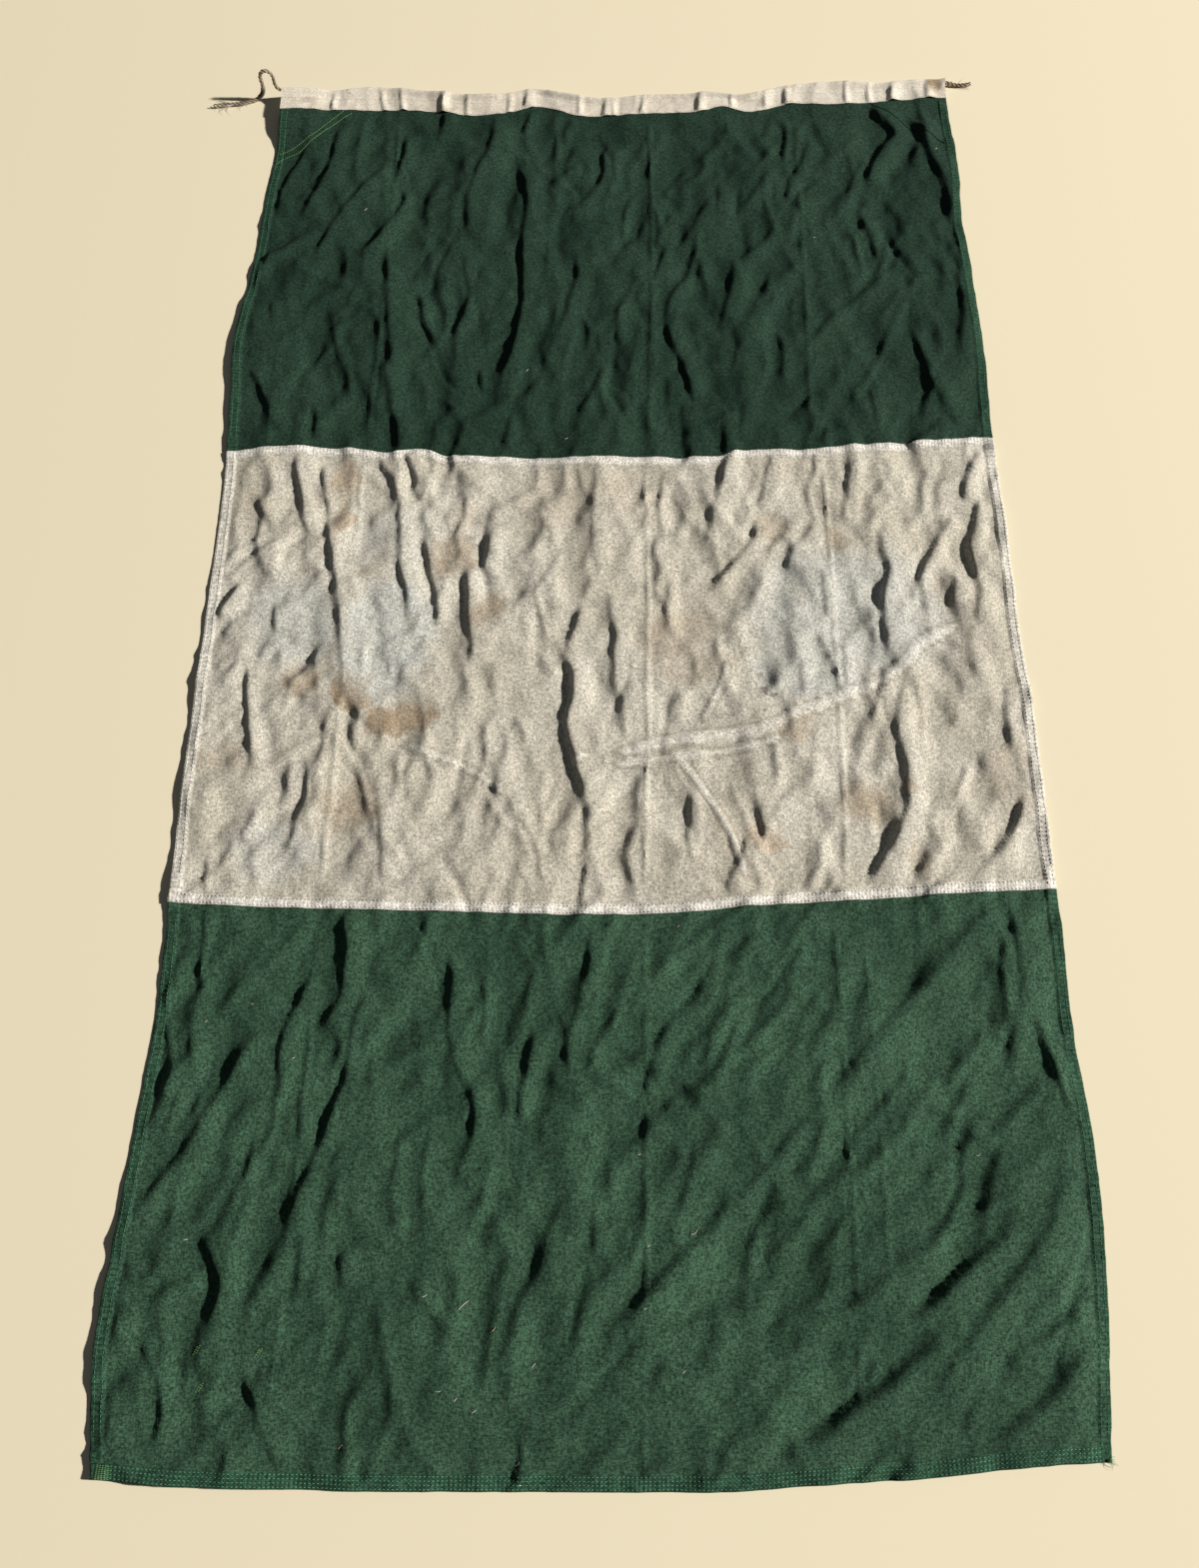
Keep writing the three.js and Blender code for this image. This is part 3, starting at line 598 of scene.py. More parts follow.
@dataclass(frozen=True)
class GroundLie:
    """How the cloth's underside lies above the ground: folds, edges that stand up and wrinkles."""

    folds: tuple[Fold, ...]
    edges: tuple[Fold, ...]
    crumples: tuple[Crumple, ...]
    creases: tuple[CreaseField, ...]
    corner: tuple[float, float] = (-470, 792)
    corner_height: float = 13.0
    corner_reach: float = 95.0
    highest: float = 15.0
    lean: float = 0.6
    base: float = 3.8
    base_by_heading: float = 1.6
    side_drop: float = 2.8
    edge_share: float = 0.25
    calm_by_folds: float = 0.45
    drift: tuple[tuple[float, float, int], ...] = ((2.8, 0.026, 91), (1.2, 0.011, 92))
    by_heading: tuple[float, float] = (0.74, 0.80)

    def wrinkles(self, x: Array, y: Array) -> Array:
        """The fine wrinkles' height: each leans towards -X, so that its left side is steep."""
        height = np.zeros_like(x)
        for _ in range(4):
            height = sum(layer.at(x + self.lean * height, y) for layer in self.crumples)
        height = height + sum(field.at(x + self.lean * height, y) for field in self.creases)
        return height * (1 - 0.5 * smoothstep(*self.by_heading, y))

    def height(self, x: Array, y: Array) -> Array:
        """The underside's height.

        Args:
            x: Positions along the heading, in metres.
            y: Positions towards the heading, in metres.

        Returns:
            Heights in metres, never below the ground.
        """
        main = np.zeros_like(x)
        drift = sum(far * MM * gradient_noise(x / size, y / size, seed) for far, size, seed in self.drift)
        for ridge in self.folds:
            main = main + ridge.at(x + drift, y + drift) ** 2
        main = np.sqrt(main)
        calm = 1 - self.calm_by_folds * smoothstep(1 * MM, 6 * MM, main)
        away = np.hypot(x - self.corner[0] * MM, y - self.corner[1] * MM) / (self.corner_reach * MM)
        raised = self.corner_height * MM * 0.5 * (1 + np.cos(math.pi * np.clip(away, 0, 1)))
        edges = np.maximum.reduce([edge.at(x, y) for edge in self.edges])
        raised = np.maximum(raised, self.edge_share * edges)
        total = np.maximum(main, raised) + 0.4 * np.minimum(main, raised) + calm * self.wrinkles(x, y)
        total = total + (self.base - self.base_by_heading * smoothstep(*self.by_heading, y)) * MM
        inside = np.minimum(x - LEFT_EDGE.at(y), RIGHT_EDGE.at(y) - x)
        beside = (1 - smoothstep(0.0, 0.035, inside)) * (1 - smoothstep(0.72, 0.78, y))
        total = total - beside * self.side_drop * MM
        lifted = 0.5 * (total + np.sqrt(total * total + (1.2 * MM) ** 2)) - 0.25 * MM
        top = self.highest * MM
        return np.maximum(top * np.tanh(lifted / top), 0.0)


LIE = GroundLie(HOIST_FOLDS + CENTRE_FOLDS + PAINTED_LIGHT_TUCKS + FLY_FOLDS + PRESSED_FOLDS,
                EDGE_FOLDS, CRUMPLES, CREASES)

# ---- Where the cloth's edges and seams lie: the same stations as the CAD panels ----
LEFT_EDGE = EdgeLine((
    (-859, -449), (-840, -453), (-790, -461), (-733, -465), (-675, -462), (-600, -459),
    (-531, -456), (-446, -452), (-330, -455), (-205, -459), (0, -460), (193, -462),
    (249, -465), (318, -469), (388, -474.5), (449, -471), (503, -465), (573, -462),
    (638, -461), (700, -457), (780, -455), (815, -456),
))
RIGHT_EDGE = EdgeLine((
    (-829, 454), (-775, 459), (-725, 466), (-668, 471), (-610, 474.5), (-531, 473),
    (-454, 468), (-377, 469), (-220, 469), (-78, 468), (0, 465), (193, 463), (272, 461),
    (369, 464), (445, 463), (531, 460), (631, 456), (692, 459), (785, 456), (857, 455),
))
HEADING_TOP = EdgeLine((
    (-456, 814), (-420, 819), (-385, 820), (-325, 829), (-262, 823), (-190, 817), (-150, 820),
    (-113, 828), (-77, 823), (-23, 814), (50, 821), (131, 826), (181, 826), (231, 840),
    (300, 849), (369, 850), (404, 855), (455, 859),
))
HEADING_BOTTOM = EdgeLine((
    (-456, 778), (-420, 782), (-385, 785), (-331, 788), (-261, 788), (-196, 781), (-154, 785),
    (-104, 798), (-54, 783), (-19, 783), (50, 789), (111, 793), (146, 803), (181, 795),
    (238, 810), (292, 809), (350, 815), (400, 822), (455, 826),
))
UPPER_SEAM = EdgeLine((
    (-463, 230), (-400, 236), (-323, 236), (-265, 231), (-231, 236), (-196, 226), (-111, 226),
    (-46, 225), (46, 228), (125, 230), (154, 238), (238, 242), (304, 251), (377, 256),
    (446, 263), (462, 262),
))
LOWER_SEAM = EdgeLine((
    (-455, -329), (-400, -332), (-269, -334), (-115, -336), (-38, -337), (77, -333),
    (146, -325), (261, -317), (365, -309), (468, -302),
))
FLY_EDGE = EdgeLine((
    (-449, -853), (-385, -857), (-269, -859), (-115, -859), (0, -858), (115, -856),
    (192, -850), (269, -845), (338, -838), (396, -832), (454, -830),
))


# ---- Making meshes ----
def new_object(name: str, data: bpy.types.ID) -> Piece:
    """An object of this data, in the scene."""
    made = bpy.data.objects.new(name, data)
    bpy.context.scene.collection.objects.link(made)
    return made


def new_piece(name: str, points: Array, faces: Sequence, sharp: float = SHEET_CREASE_DEG) -> Piece:
    """Makes a mesh object with smooth faces and sharp corners.

    Args:
        name: The piece's name.
        points: Vertex positions, (n, 3), in metres.
        faces: Vertex numbers of each face.
        sharp: The angle in degrees from which an edge is sharp.

    Returns:
        The new object, linked to the scene.
    """
    mesh = bpy.data.meshes.new(name)
    mesh.from_pydata(np.asarray(points, float).tolist(), [], [list(map(int, f)) for f in faces])
    mesh.validate()
    mesh.polygons.foreach_set("use_smooth", np.ones(len(mesh.polygons), bool))
    mesh.set_sharp_from_angle(angle=math.radians(sharp))
    mesh.update()
    return new_object(name, mesh)


def grid_faces(rows: int, columns: int, start: int = 0, flip: bool = False) -> Array:
    """Quads of a grid of vertices, row after row.

    Args:
        rows: Number of vertex rows.
        columns: Number of vertices in a row.
        start: The first vertex's number.
        flip: Whether the faces look the other way.

    Returns:
        Vertex numbers, (faces, 4).
    """
    r, c = np.meshgrid(np.arange(rows - 1), np.arange(columns - 1), indexing="ij")
    first = (start + r * columns + c).ravel()
    quads = np.stack([first, first + columns, first + columns + 1, first + 1], 1)
    return quads[:, ::-1] if flip else quads


def closed_sheet(under: Array, over: Array) -> Mesh:
    """Closes two grids of the same size into one thin body.

    Args:
        under: The underside's points, (rows, columns, 3), from +Y to -Y and from -X to +X.
        over: The top side's points.

    Returns:
        Points and quads.
    """
    rows, columns = over.shape[:2]
    count = rows * columns
    ids = np.arange(count).reshape(rows, columns)
    rim = np.concatenate([ids[0, :-1], ids[:-1, -1], ids[-1, :0:-1], ids[:0:-1, 0]])
    ahead = np.roll(rim, -1)
    walls = np.stack([rim, ahead, ahead + count, rim + count], 1)
    faces = np.vstack([grid_faces(rows, columns), grid_faces(rows, columns, count, flip=True), walls])
    return np.concatenate([over.reshape(-1, 3), under.reshape(-1, 3)]), faces


def tube_faces(rings: int, sides: int) -> list[tuple[int, ...]]:
    """Faces of a tube whose points are its rings, one after another, and then its two tips."""
    last, tip = (rings - 1) * sides, rings * sides
    round_pairs = [(n, (n + 1) % sides) for n in range(sides)]
    faces = [(k + n, k + m, k + m + sides, k + n + sides) for k in range(0, last, sides) for n, m in round_pairs]
    for n, m in round_pairs:
        faces += [(tip, m, n), (tip + 1, last + n, last + m)]
    return faces


def headings(path: Array) -> Array:
    """The unit direction of a path at each of its points."""
    ahead = np.gradient(path, axis=0)
    return ahead / (np.linalg.norm(ahead, axis=1, keepdims=True) + 1e-12)


def carried_frames(path: Array, side: Array) -> tuple[Array, Array]:
    """Two directions square to a path, carried along it without twist.

    Args:
        path: Points, (n, 3).
        side: About where the first of the two points at the start.

    Returns:
        The two directions at each point, both (n, 3).
    """
    sides = []
    ahead = headings(path)
    for direction in ahead:
        side = side - direction * (side @ direction)
        side = side / (np.linalg.norm(side) + 1e-12)
        sides.append(side)
    return np.array(sides), np.cross(ahead, np.array(sides))


def tube(path: Array, radius: Array, sides: int = 6) -> Mesh:
    """A round tube along a path, with its ends drawn to a point.

    Args:
        path: Centre points, (n, 3).
        radius: The radius at each point.
        sides: Sides of its section.

    Returns:
        Points and faces: quads along it, and triangles to a tip at each end.
    """
    side = np.cross(headings(path)[0], (0.0, 0.0, 1.0))
    if np.linalg.norm(side) < 1e-3:
        side = np.array((1.0, 0.0, 0.0))
    turn = np.arange(sides) * 2 * math.pi / sides
    rings = []
    for centre, r, side, up in zip(path, radius, *carried_frames(path, side)):
        rings.append(centre + r * (np.cos(turn)[:, None] * side + np.sin(turn)[:, None] * -up))
    return np.vstack([*rings, path[:1], path[-1:]]), tube_faces(len(path), sides)


def join(parts: Iterable[Mesh]) -> Mesh:
    """Joins several point and face sets into one."""
    points, faces, start = [], [], 0
    for some_points, some_faces in parts:
        points.append(some_points)
        faces.extend([tuple(int(i) + start for i in face) for face in some_faces])
        start += len(some_points)
    return np.vstack(points), faces


def smooth_path(points: Sequence, step: float) -> Array:
    """A centripetal curve through points, cut into equal steps.

    Args:
        points: The route's points.
        step: The wanted distance between the result's points, in metres.

    Returns:
        Points along the curve.
    """
    p = np.array(points, float)
    p = np.vstack([2 * p[0] - p[1], p, 2 * p[-1] - p[-2]])
    t = np.linspace(0, 1, 12, endpoint=False)[:, None]
    parts = []
    for a, b, c, d in zip(p, p[1:], p[2:], p[3:]):
        parts.append(0.5 * (2 * b + (c - a) * t + (2 * a - 5 * b + 4 * c - d) * t**2
                            + (3 * b - a - 3 * c + d) * t**3))
    dense = np.vstack([*parts, p[-2:-1]])
    walked = np.concatenate([[0], np.cumsum(np.linalg.norm(np.diff(dense, axis=0), axis=1))])
    count = max(int(round(walked[-1] / step)), 2)
    goal = np.linspace(0, walked[-1], count + 1)
    return np.stack([np.interp(goal, walked, dense[:, k]) for k in range(3)], 1)


def stitch_beads(starts: Array, ends: Array, radius: float, rise: float) -> Mesh:
    """Short plump stitches, each an arched bead between two points.

    Args:
        starts: Where each stitch comes out of the cloth, (n, 3).
        ends: Where it goes back in.
        radius: Half the thread's width, in metres.
        rise: How high its middle stands above its ends.

    Returns:
        Points and faces of all the stitches.
    """
    sides = 5
    run = ends - starts
    ahead = run / (np.linalg.norm(run, axis=1, keepdims=True) + 1e-12)
    side = np.cross(ahead, (0.0, 0.0, 1.0))
    side /= np.linalg.norm(side, axis=1, keepdims=True) + 1e-12
    up = np.cross(side, ahead)
    turn = np.arange(sides) * 2 * math.pi / sides
    swells = ((0.14, 0.8), (0.5, 1.0), (0.86, 0.8))
    rings = []
    for part, swell in swells:
        centre = starts + run * part + up * rise * math.sin(math.pi * part)
        ring = side[:, None] * np.cos(turn)[None, :, None] + up[:, None] * np.sin(turn)[None, :, None]
        rings.append(centre[:, None] + ring * radius * swell)
    tips = np.stack([starts, ends], 1)
    points = np.concatenate([*rings, tips], 1).reshape(-1, 3)
    size = len(swells) * sides + 2
    return points, [tuple(i + k * size for i in face)
                    for k in range(len(starts)) for face in tube_faces(len(swells), sides)]


# ---- Finishes ----
class NodeSheet:
    """A material's node tree, with a short way to add and link nodes."""

    def __init__(self, name: str) -> None:
        """Starts a material of that name with one Principled shader."""
        self.material = bpy.data.materials.new(name)
        self.material.use_nodes = True
        self.tree = self.material.node_tree
        self.shader = next(n for n in self.tree.nodes if n.type == "BSDF_PRINCIPLED")

    def set_shader(self, **values: object) -> None:
        """Sets the shader's own sockets, with _ for a space."""
        for name, value in values.items():
            self.shader.inputs[name.replace("_", " ")].default_value = value

    def add(self, kind: str, settings: dict | None = None, **inputs: object) -> bpy.types.Node:
        """Adds a node.

        Args:
            kind: The node type without its ShaderNode prefix.
            settings: Values of the node's own properties.
            **inputs: Values or sockets for its inputs, with _ for a space; i0, i1 and so on
                choose an input by number.

        Returns:
            The new node.
        """
        node = self.tree.nodes.new("ShaderNode" + kind)
        for key, value in (settings or {}).items():
            setattr(node, key, value)
        for key, value in inputs.items():
            numbered = key[0] == "i" and key[1:].isdigit()
            socket = node.inputs[int(key[1:]) if numbered else key.replace("_", " ")]
            if isinstance(value, Socket):
                self.tree.links.new(value, socket)
            else:
                socket.default_value = value
        return node

    def math(self, operation: str, *values: object) -> Socket:
        """The result of one Math node."""
        numbered = {f"i{k}": value for k, value in enumerate(values)}
        return self.add("Math", {"operation": operation}, **numbered).outputs[0]

    def vector(self, operation: str, output: int = 0, **inputs: object) -> Socket:
        """One result of a Vector Math node: its vector, or its value where output is 1."""
        return self.add("VectorMath", {"operation": operation}, **inputs).outputs[output]

    def mix(self, part: object, first: object, second: object, blend: str = "MIX") -> Socket:
        """Two colours mixed by a part, 0 to 1."""
        first, second = (v if isinstance(v, Socket) else (*v, 1.0) for v in (first, second))
        node = self.add("Mix", {"data_type": "RGBA", "blend_type": blend}, i0=part, i6=first, i7=second)
        return node.outputs[2]

    def ease(self, value: object, low: float, high: float, to_low: float = 0.0,
             to_high: float = 1.0) -> Socket:
        """A value eased from one range into another."""
        return self.add("MapRange", {"interpolation_type": "SMOOTHSTEP"}, i0=value, i1=low, i2=high,
                        i3=to_low, i4=to_high).outputs[0]

    def marked(self, name: str) -> Socket:
        """The value that mark() stored under a name, 0 where a piece has none."""
        return self.add("Attribute", {"attribute_name": name}).outputs["Fac"]

    def noise(self, where: object, scale: float, detail: float = 3.0, rough: float = 0.55) -> Socket:
        """The value of a noise texture."""
        return self.add("TexNoise", Vector=where, Scale=scale, Detail=detail, Roughness=rough).outputs[0]

    def finish(self, colour: Socket, bump: Socket, distance: float, roughness: float,
               sheen: float = 0.0) -> bpy.types.Material:
        """Links the colour and the bump, and sets the rest of the shader.

        Args:
            colour: Base colour socket.
            bump: Height socket, 0 to 1.
            distance: What a height of 1 means, in metres.
            roughness: The surface's roughness.
            sheen: The strength of a cloth's soft rim.

        Returns:
            The material.
        """
        self.tree.links.new(colour, self.shader.inputs["Base Color"])
        dent = self.add("Bump", Height=bump, Distance=distance, Strength=1.0)
        self.tree.links.new(dent.outputs[0], self.shader.inputs["Normal"])
        self.set_shader(Roughness=roughness, Specular_IOR_Level=0.12, Sheen_Weight=sheen, Sheen_Roughness=0.6)
        return self.material


class Tint(Enum):
    """What a stain does to the cloth's colour."""

    TAN = (0.285, 0.215, 0.14)
    WASHED = (0.465, 0.475, 0.445)
    GREY = (0.23, 0.205, 0.18)
    RUST = (0.42, 0.22, 0.09)


@dataclass(frozen=True)
class Stain:
    """One stain on the cloth: its box on the ground in millimetres, its strength and its edge."""

    tint: Tint
    x: tuple[float, float]
    y: tuple[float, float]
    strength: float = 0.5
    edge: float = 0.45
    turn: float = 0.0


@dataclass(frozen=True)
class ClothFinish:
    """Plain-woven cloth: its colour, how it has faded, its slubs and its weave."""

    name: str
    colour: Colour
    faded: Colour
    # dark is the colour of the random mottle, and of the painted shade between the stitches and just beside the
    # tucks.
    dark: Colour
    fade: float = 0.5
    slub: float = 0.25
    weave: float = 0.12
    pitch: float = 1.1 * MM
    sheen: float = 0.15
    crinkle: float = 5.0
    # hem also serves as the colour of the painted highlight on the tucks' tops.
    hem: Colour = (0.030, 0.085, 0.050)
    stains: tuple[Stain, ...] = ()
    stain_force: float = 1.35

    def threads(self, sheet: NodeSheet, where: Socket) -> tuple[Socket, Socket]:
        """Slubby yarns both ways.

        Args:
            sheet: The node tree.
            where: Ground position socket.

        Returns:
            A colour variation and a height, each about 0 to 1.
        """
        across = sheet.add("Mapping", Vector=where, Scale=(0.3, 1.0, 1.0)).outputs[0]
        along = sheet.add("Mapping", Vector=where, Scale=(1.0, 0.3, 1.0)).outputs[0]
        weft, warp = sheet.noise(across, 800, 3.0), sheet.noise(along, 800, 3.0)
        slubs = sheet.math("MULTIPLY", sheet.math("ADD", weft, warp), 0.5)
        rate = 1.0 / self.pitch * 2 * math.pi
        part = sheet.add("SeparateXYZ", Vector=where)
        ends = sheet.math("SINE", sheet.math("MULTIPLY", part.outputs[0], rate))
        picks = sheet.math("SINE", sheet.math("MULTIPLY", part.outputs[1], rate))
        weave = sheet.math("MULTIPLY_ADD", sheet.math("MULTIPLY", ends, picks), 0.5, 0.5)
        height = sheet.math("MULTIPLY_ADD", slubs, 1.6, sheet.math("MULTIPLY", weave, 0.5))
        return slubs, height

    def soil(self, sheet: NodeSheet, colour: Socket, where: Socket) -> Socket:
        """Lays the stains over the colour, one tint after another.

        Args:
            sheet: The node tree.
            colour: The clean cloth's colour.
            where: Ground position socket.

        Returns:
            The stained colour.
        """
        drift = sheet.add("TexNoise", Vector=where, Scale=16.0, Detail=4.0, Roughness=0.6).outputs[1]
        centred = sheet.vector("SUBTRACT", i0=drift, i1=(0.5, 0.5, 0.5))
        blown = sheet.vector("SCALE", i0=centred, Scale=0.075)
        moved = sheet.vector("ADD", i0=where, i1=blown)
        for tint in Tint:
            mask = None
            for stain in (s for s in self.stains if s.tint is tint):
                centre = (sum(stain.x) / 2 * MM, sum(stain.y) / 2 * MM, 0.0)
                radii = ((stain.x[1] - stain.x[0]) * 0.62 * MM, (stain.y[1] - stain.y[0]) * 0.62 * MM, 1.0)
                local = sheet.add("Mapping", {"vector_type": "TEXTURE"}, Vector=moved, Location=centre,
                                  Rotation=(0.0, 0.0, math.radians(stain.turn)), Scale=radii).outputs[0]
                flat = sheet.vector("MULTIPLY", i0=local, i1=(1.0, 1.0, 0.0))
                away = sheet.vector("LENGTH", output=1, i0=flat)
                one = sheet.ease(away, 1.0, 1.0 - stain.edge, 0.0, self.stain_force * stain.strength)
                mask = one if mask is None else sheet.math("MAXIMUM", mask, one)
            if mask is not None:
                patchy = sheet.ease(sheet.noise(where, 55, 4.0, 0.65), 0.28, 0.66, 0.62, 1.1)
                colour = sheet.mix(sheet.math("MULTIPLY", mask, patchy), colour, tint.value)
        return colour

    def painted_stitch_shade(self, sheet: NodeSheet, where: Socket, hem: Socket) -> Socket:
        """Painted shade between the stitches: darker ticks along X in the seams and along Y in the side hems.

        Args:
            sheet: The node tree.
            where: Ground position socket.
            hem: How much hem there is: 1 in the seams and about 0.6 in the side hems.

        Returns:
            How dark the ticks are.
        """
        place = sheet.add("SeparateXYZ", Vector=where)
        rate = 2 * math.pi / STITCH_PITCH
        ticks = []
        for axis, rate_here, low, high in ((0, rate, 0.75, 0.9), (1, 0.75 * rate, 0.35, 0.5)):
            wave = sheet.math("SINE", sheet.math("MULTIPLY", place.outputs[axis], rate_here))
            inside = sheet.ease(hem, low, high)
            if axis == 1:
                inside = sheet.math("MULTIPLY", inside, sheet.ease(hem, 0.9, 0.75))
            ticks.append(sheet.math("MULTIPLY", sheet.ease(wave, 0.3, 0.9, 0.0, 0.45), inside))
        return sheet.math("MAXIMUM", *ticks)

    def material(self) -> bpy.types.Material:
        """Builds the cloth's material."""
        sheet = NodeSheet(self.name)
        where = sheet.add("TexCoord").outputs["Object"]
        slubs, height = self.threads(sheet, where)
        broad = sheet.noise(where, 5.5, 4.0, 0.6)
        colour = sheet.mix(sheet.ease(broad, 0.36, 0.68, 0.0, self.fade), self.colour, self.faded)
        wear_and_highlight, hem, painted_tuck_light = (sheet.marked(name) for name in ("wear_and_highlight", "hem", "painted_tuck_light"))
        # Lightens towards the faded colour: wear at the panels' side edges and over the heading and the corner
        # patches, and a painted highlight on the panels' tallest fold tops.
        colour = sheet.mix(sheet.math("MULTIPLY", wear_and_highlight, self.fade), colour, self.faded)
        colour = self.soil(sheet, colour, where)
        colour = sheet.mix(sheet.math("MULTIPLY", hem, 0.8), colour, self.hem)
        # Painted shade between the stitches in the seams and the side hems.
        colour = sheet.mix(self.painted_stitch_shade(sheet, where, hem), colour, self.dark)
        # Painted highlight on the tucks' tops, in the hem's paler colour, and painted shade just beside them.
        colour = sheet.mix(sheet.ease(painted_tuck_light, 0.1, 0.9, 0.0, 0.42), colour, self.hem)
        colour = sheet.mix(sheet.ease(painted_tuck_light, -0.1, -0.9, 0.0, 0.6), colour, self.dark)
        mottle = sheet.noise(where, 380, 3.0, 0.75)
        colour = sheet.mix(sheet.ease(mottle, 0.42, 0.66, 0.0, 2.2 * self.slub), colour, self.dark)
        light = sheet.ease(slubs, 0.38, 0.62, 1.0 - 1.3 * self.slub, 1.0 + 1.5 * self.slub)
        shade = sheet.add("CombineColor", i0=light, i1=light, i2=light).outputs[0]
        colour = sheet.mix(1.0, colour, shade, "MULTIPLY")
        drawn = sheet.add("Mapping", Vector=where, Scale=(1.0, 0.5, 1.0)).outputs[0]
        crinkle = sheet.add("TexNoise", {"noise_type": "RIDGED_MULTIFRACTAL"}, Vector=drawn, Scale=70.0,
                            Detail=3.0, Roughness=0.6, Distortion=0.6).outputs[0]
        height = sheet.math("MULTIPLY_ADD", crinkle, self.crinkle, height)
        height = sheet.math("MULTIPLY_ADD", sheet.noise(where, 130, 4.0, 0.6), 3.0, height)
        return sheet.finish(colour, height, self.weave * MM, 0.92, self.sheen)


@dataclass(frozen=True)
class ThreadFinish:
    """Sewing thread or rope fibre: a colour that varies from strand to strand."""

    name: str
    colour: Colour
    second: Colour
    grain: float = 900.0
    bump: float = 0.05

    def material(self) -> bpy.types.Material:
        """Builds the thread's material."""
        sheet = NodeSheet(self.name)
        where = sheet.add("TexCoord").outputs["Object"]
        spots = sheet.noise(where, 60.0, 3.0)
        fine = sheet.noise(where, self.grain, 2.0)
        colour = sheet.mix(sheet.ease(spots, 0.38, 0.64), self.colour, self.second)
        shade = tuple(0.45 * c for c in self.colour)
        colour = sheet.mix(sheet.ease(fine, 0.3, 0.7, 0.0, 0.35), colour, shade)
        return sheet.finish(colour, fine, self.bump * MM, 0.9, 0.1)


STAINS = tuple(Stain(tint, *row) for tint, rows in (
    (Tint.WASHED, (
        ((-412, -304), (-60, 60), 0.55), ((-304, -196), (-92, 66), 0.75),
        ((-404, -304), (-300, -232), 0.45), ((150, 388), (-64, 108), 0.6), ((154, 300), (-84, -18), 0.6),
        ((-300, -200), (60, 150), 0.3),
    )),
    (Tint.TAN, (
        ((-342, -294), (172, 232), 0.6, 0.6), ((-333, -306), (114, 178), 0.55, 0.6),
        ((-294, -250), (48, 88), 0.32, 0.7), ((-276, -262), (54, 66), 0.6, 0.5),
        ((-220, -148), (62, 122), 0.55, 0.6), ((-216, -190), (94, 116), 0.5, 0.6),
        ((-160, -112), (-10, 44), 0.5, 0.6), ((-192, -150), (120, 176), 0.25, 0.7),
        ((-358, -320), (-92, -48), 0.5, 0.6), ((-300, -258), (-112, -62), 0.72, 0.4, -30),
        ((-270, -196), (-132, -92), 0.72, 0.4, 8), ((-306, -250), (-248, -186), 0.5, 0.6),
        ((-296, -276), (-230, -208), 0.5, 0.6), ((-452, -383), (-196, -144), 0.3, 0.7),
        ((-450, -400), (120, 190), 0.2, 0.8), ((158, 218), (104, 146), 0.42, 0.6),
        ((246, 281), (104, 142), 0.45, 0.6), ((26, 132), (-56, 28), 0.36, 0.7, 20),
        ((343, 399), (22, 74), 0.42, 0.6), ((34, 158), (-76, -30), 0.3, 0.7),
        ((182, 234), (-134, -98), 0.45, 0.6, 25), ((247, 303), (-228, -181), 0.5, 0.6),
        ((316, 348), (-292, -248), 0.3, 0.7), ((310, 336), (-208, -188), 0.5, 0.6),
        ((90, 160), (-300, -180), 0.18, 0.8), ((-150, 120), (120, 226), 0.2, 0.8),
        ((390, 470), (-240, -120), 0.25, 0.8),
    )),
    (Tint.RUST, (
        ((152, 187), (-262, -232), 0.3, 0.7),
    )),
    (Tint.GREY, (
        ((382, 434), (-62, 42), 0.3, 0.7), ((274, 288), (-86, -74), 0.6, 0.5),
        ((172, 179), (-77, -71), 0.8, 0.4), ((175, 181), (-93, -87), 0.8, 0.4),
        ((-348, -330), (170, 205), 0.3, 0.6),
    )),
) for row in rows)

GREEN = ClothFinish("worn_green_cloth", (0.031, 0.070, 0.042), (0.054, 0.116, 0.070), (0.006, 0.017, 0.010),
                    fade=0.6, slub=0.34, weave=0.10, sheen=0.0)
DEEP_GREEN = replace(GREEN, name="deep_green_cloth", colour=(0.014, 0.034, 0.022),
                     faded=(0.027, 0.058, 0.038))
WHITE = ClothFinish("stained_white_cloth", (0.46, 0.43, 0.355), (0.55, 0.53, 0.47), (0.26, 0.235, 0.19),
                    fade=0.7, slub=0.26, weave=0.10, sheen=0.05, hem=(0.80, 0.78, 0.73), stains=STAINS)
CANVAS_FINISH = ClothFinish("soiled_canvas", (0.59, 0.535, 0.44), (0.71, 0.67, 0.59), (0.34, 0.27, 0.19),
                            fade=0.6, slub=0.12, weave=0.10, pitch=0.9 * MM, sheen=0.05, stains=(
                                Stain(Tint.TAN, (430, 458), (826, 862), 0.75, 0.7),
                                Stain(Tint.TAN, (-300, -180), (785, 800), 0.25, 0.8),
                                Stain(Tint.TAN, (-440, -380), (780, 800), 0.3, 0.8),
                                Stain(Tint.GREY, (60, 180), (812, 832), 0.18, 0.8),
                            ))
ROPE = ThreadFinish("laid_rope", (0.25, 0.19, 0.13), (0.40, 0.33, 0.25), 700.0)
FRAY = ThreadFinish("frayed_fibre", (0.46, 0.41, 0.34), (0.62, 0.58, 0.52), 700.0)
WHIPPING = ThreadFinish("whipping_twine", (0.035, 0.03, 0.026), (0.10, 0.085, 0.07), 900.0)
GREEN_THREAD = ThreadFinish("green_thread", (0.06, 0.20, 0.11), (0.11, 0.33, 0.18))
LEAF_THREAD = ThreadFinish("leaf_thread", (0.15, 0.34, 0.10), (0.21, 0.42, 0.15))
WHITE_THREAD = ThreadFinish("white_thread", (0.50, 0.48, 0.43), (0.85, 0.83, 0.79))
LINT = ThreadFinish("lint", (0.60, 0.56, 0.46), (0.50, 0.36, 0.22))


@lru_cache(maxsize=None)
def material_of(finish: ClothFinish | ThreadFinish) -> bpy.types.Material:
    """The finish's material, made once."""
    return finish.material()


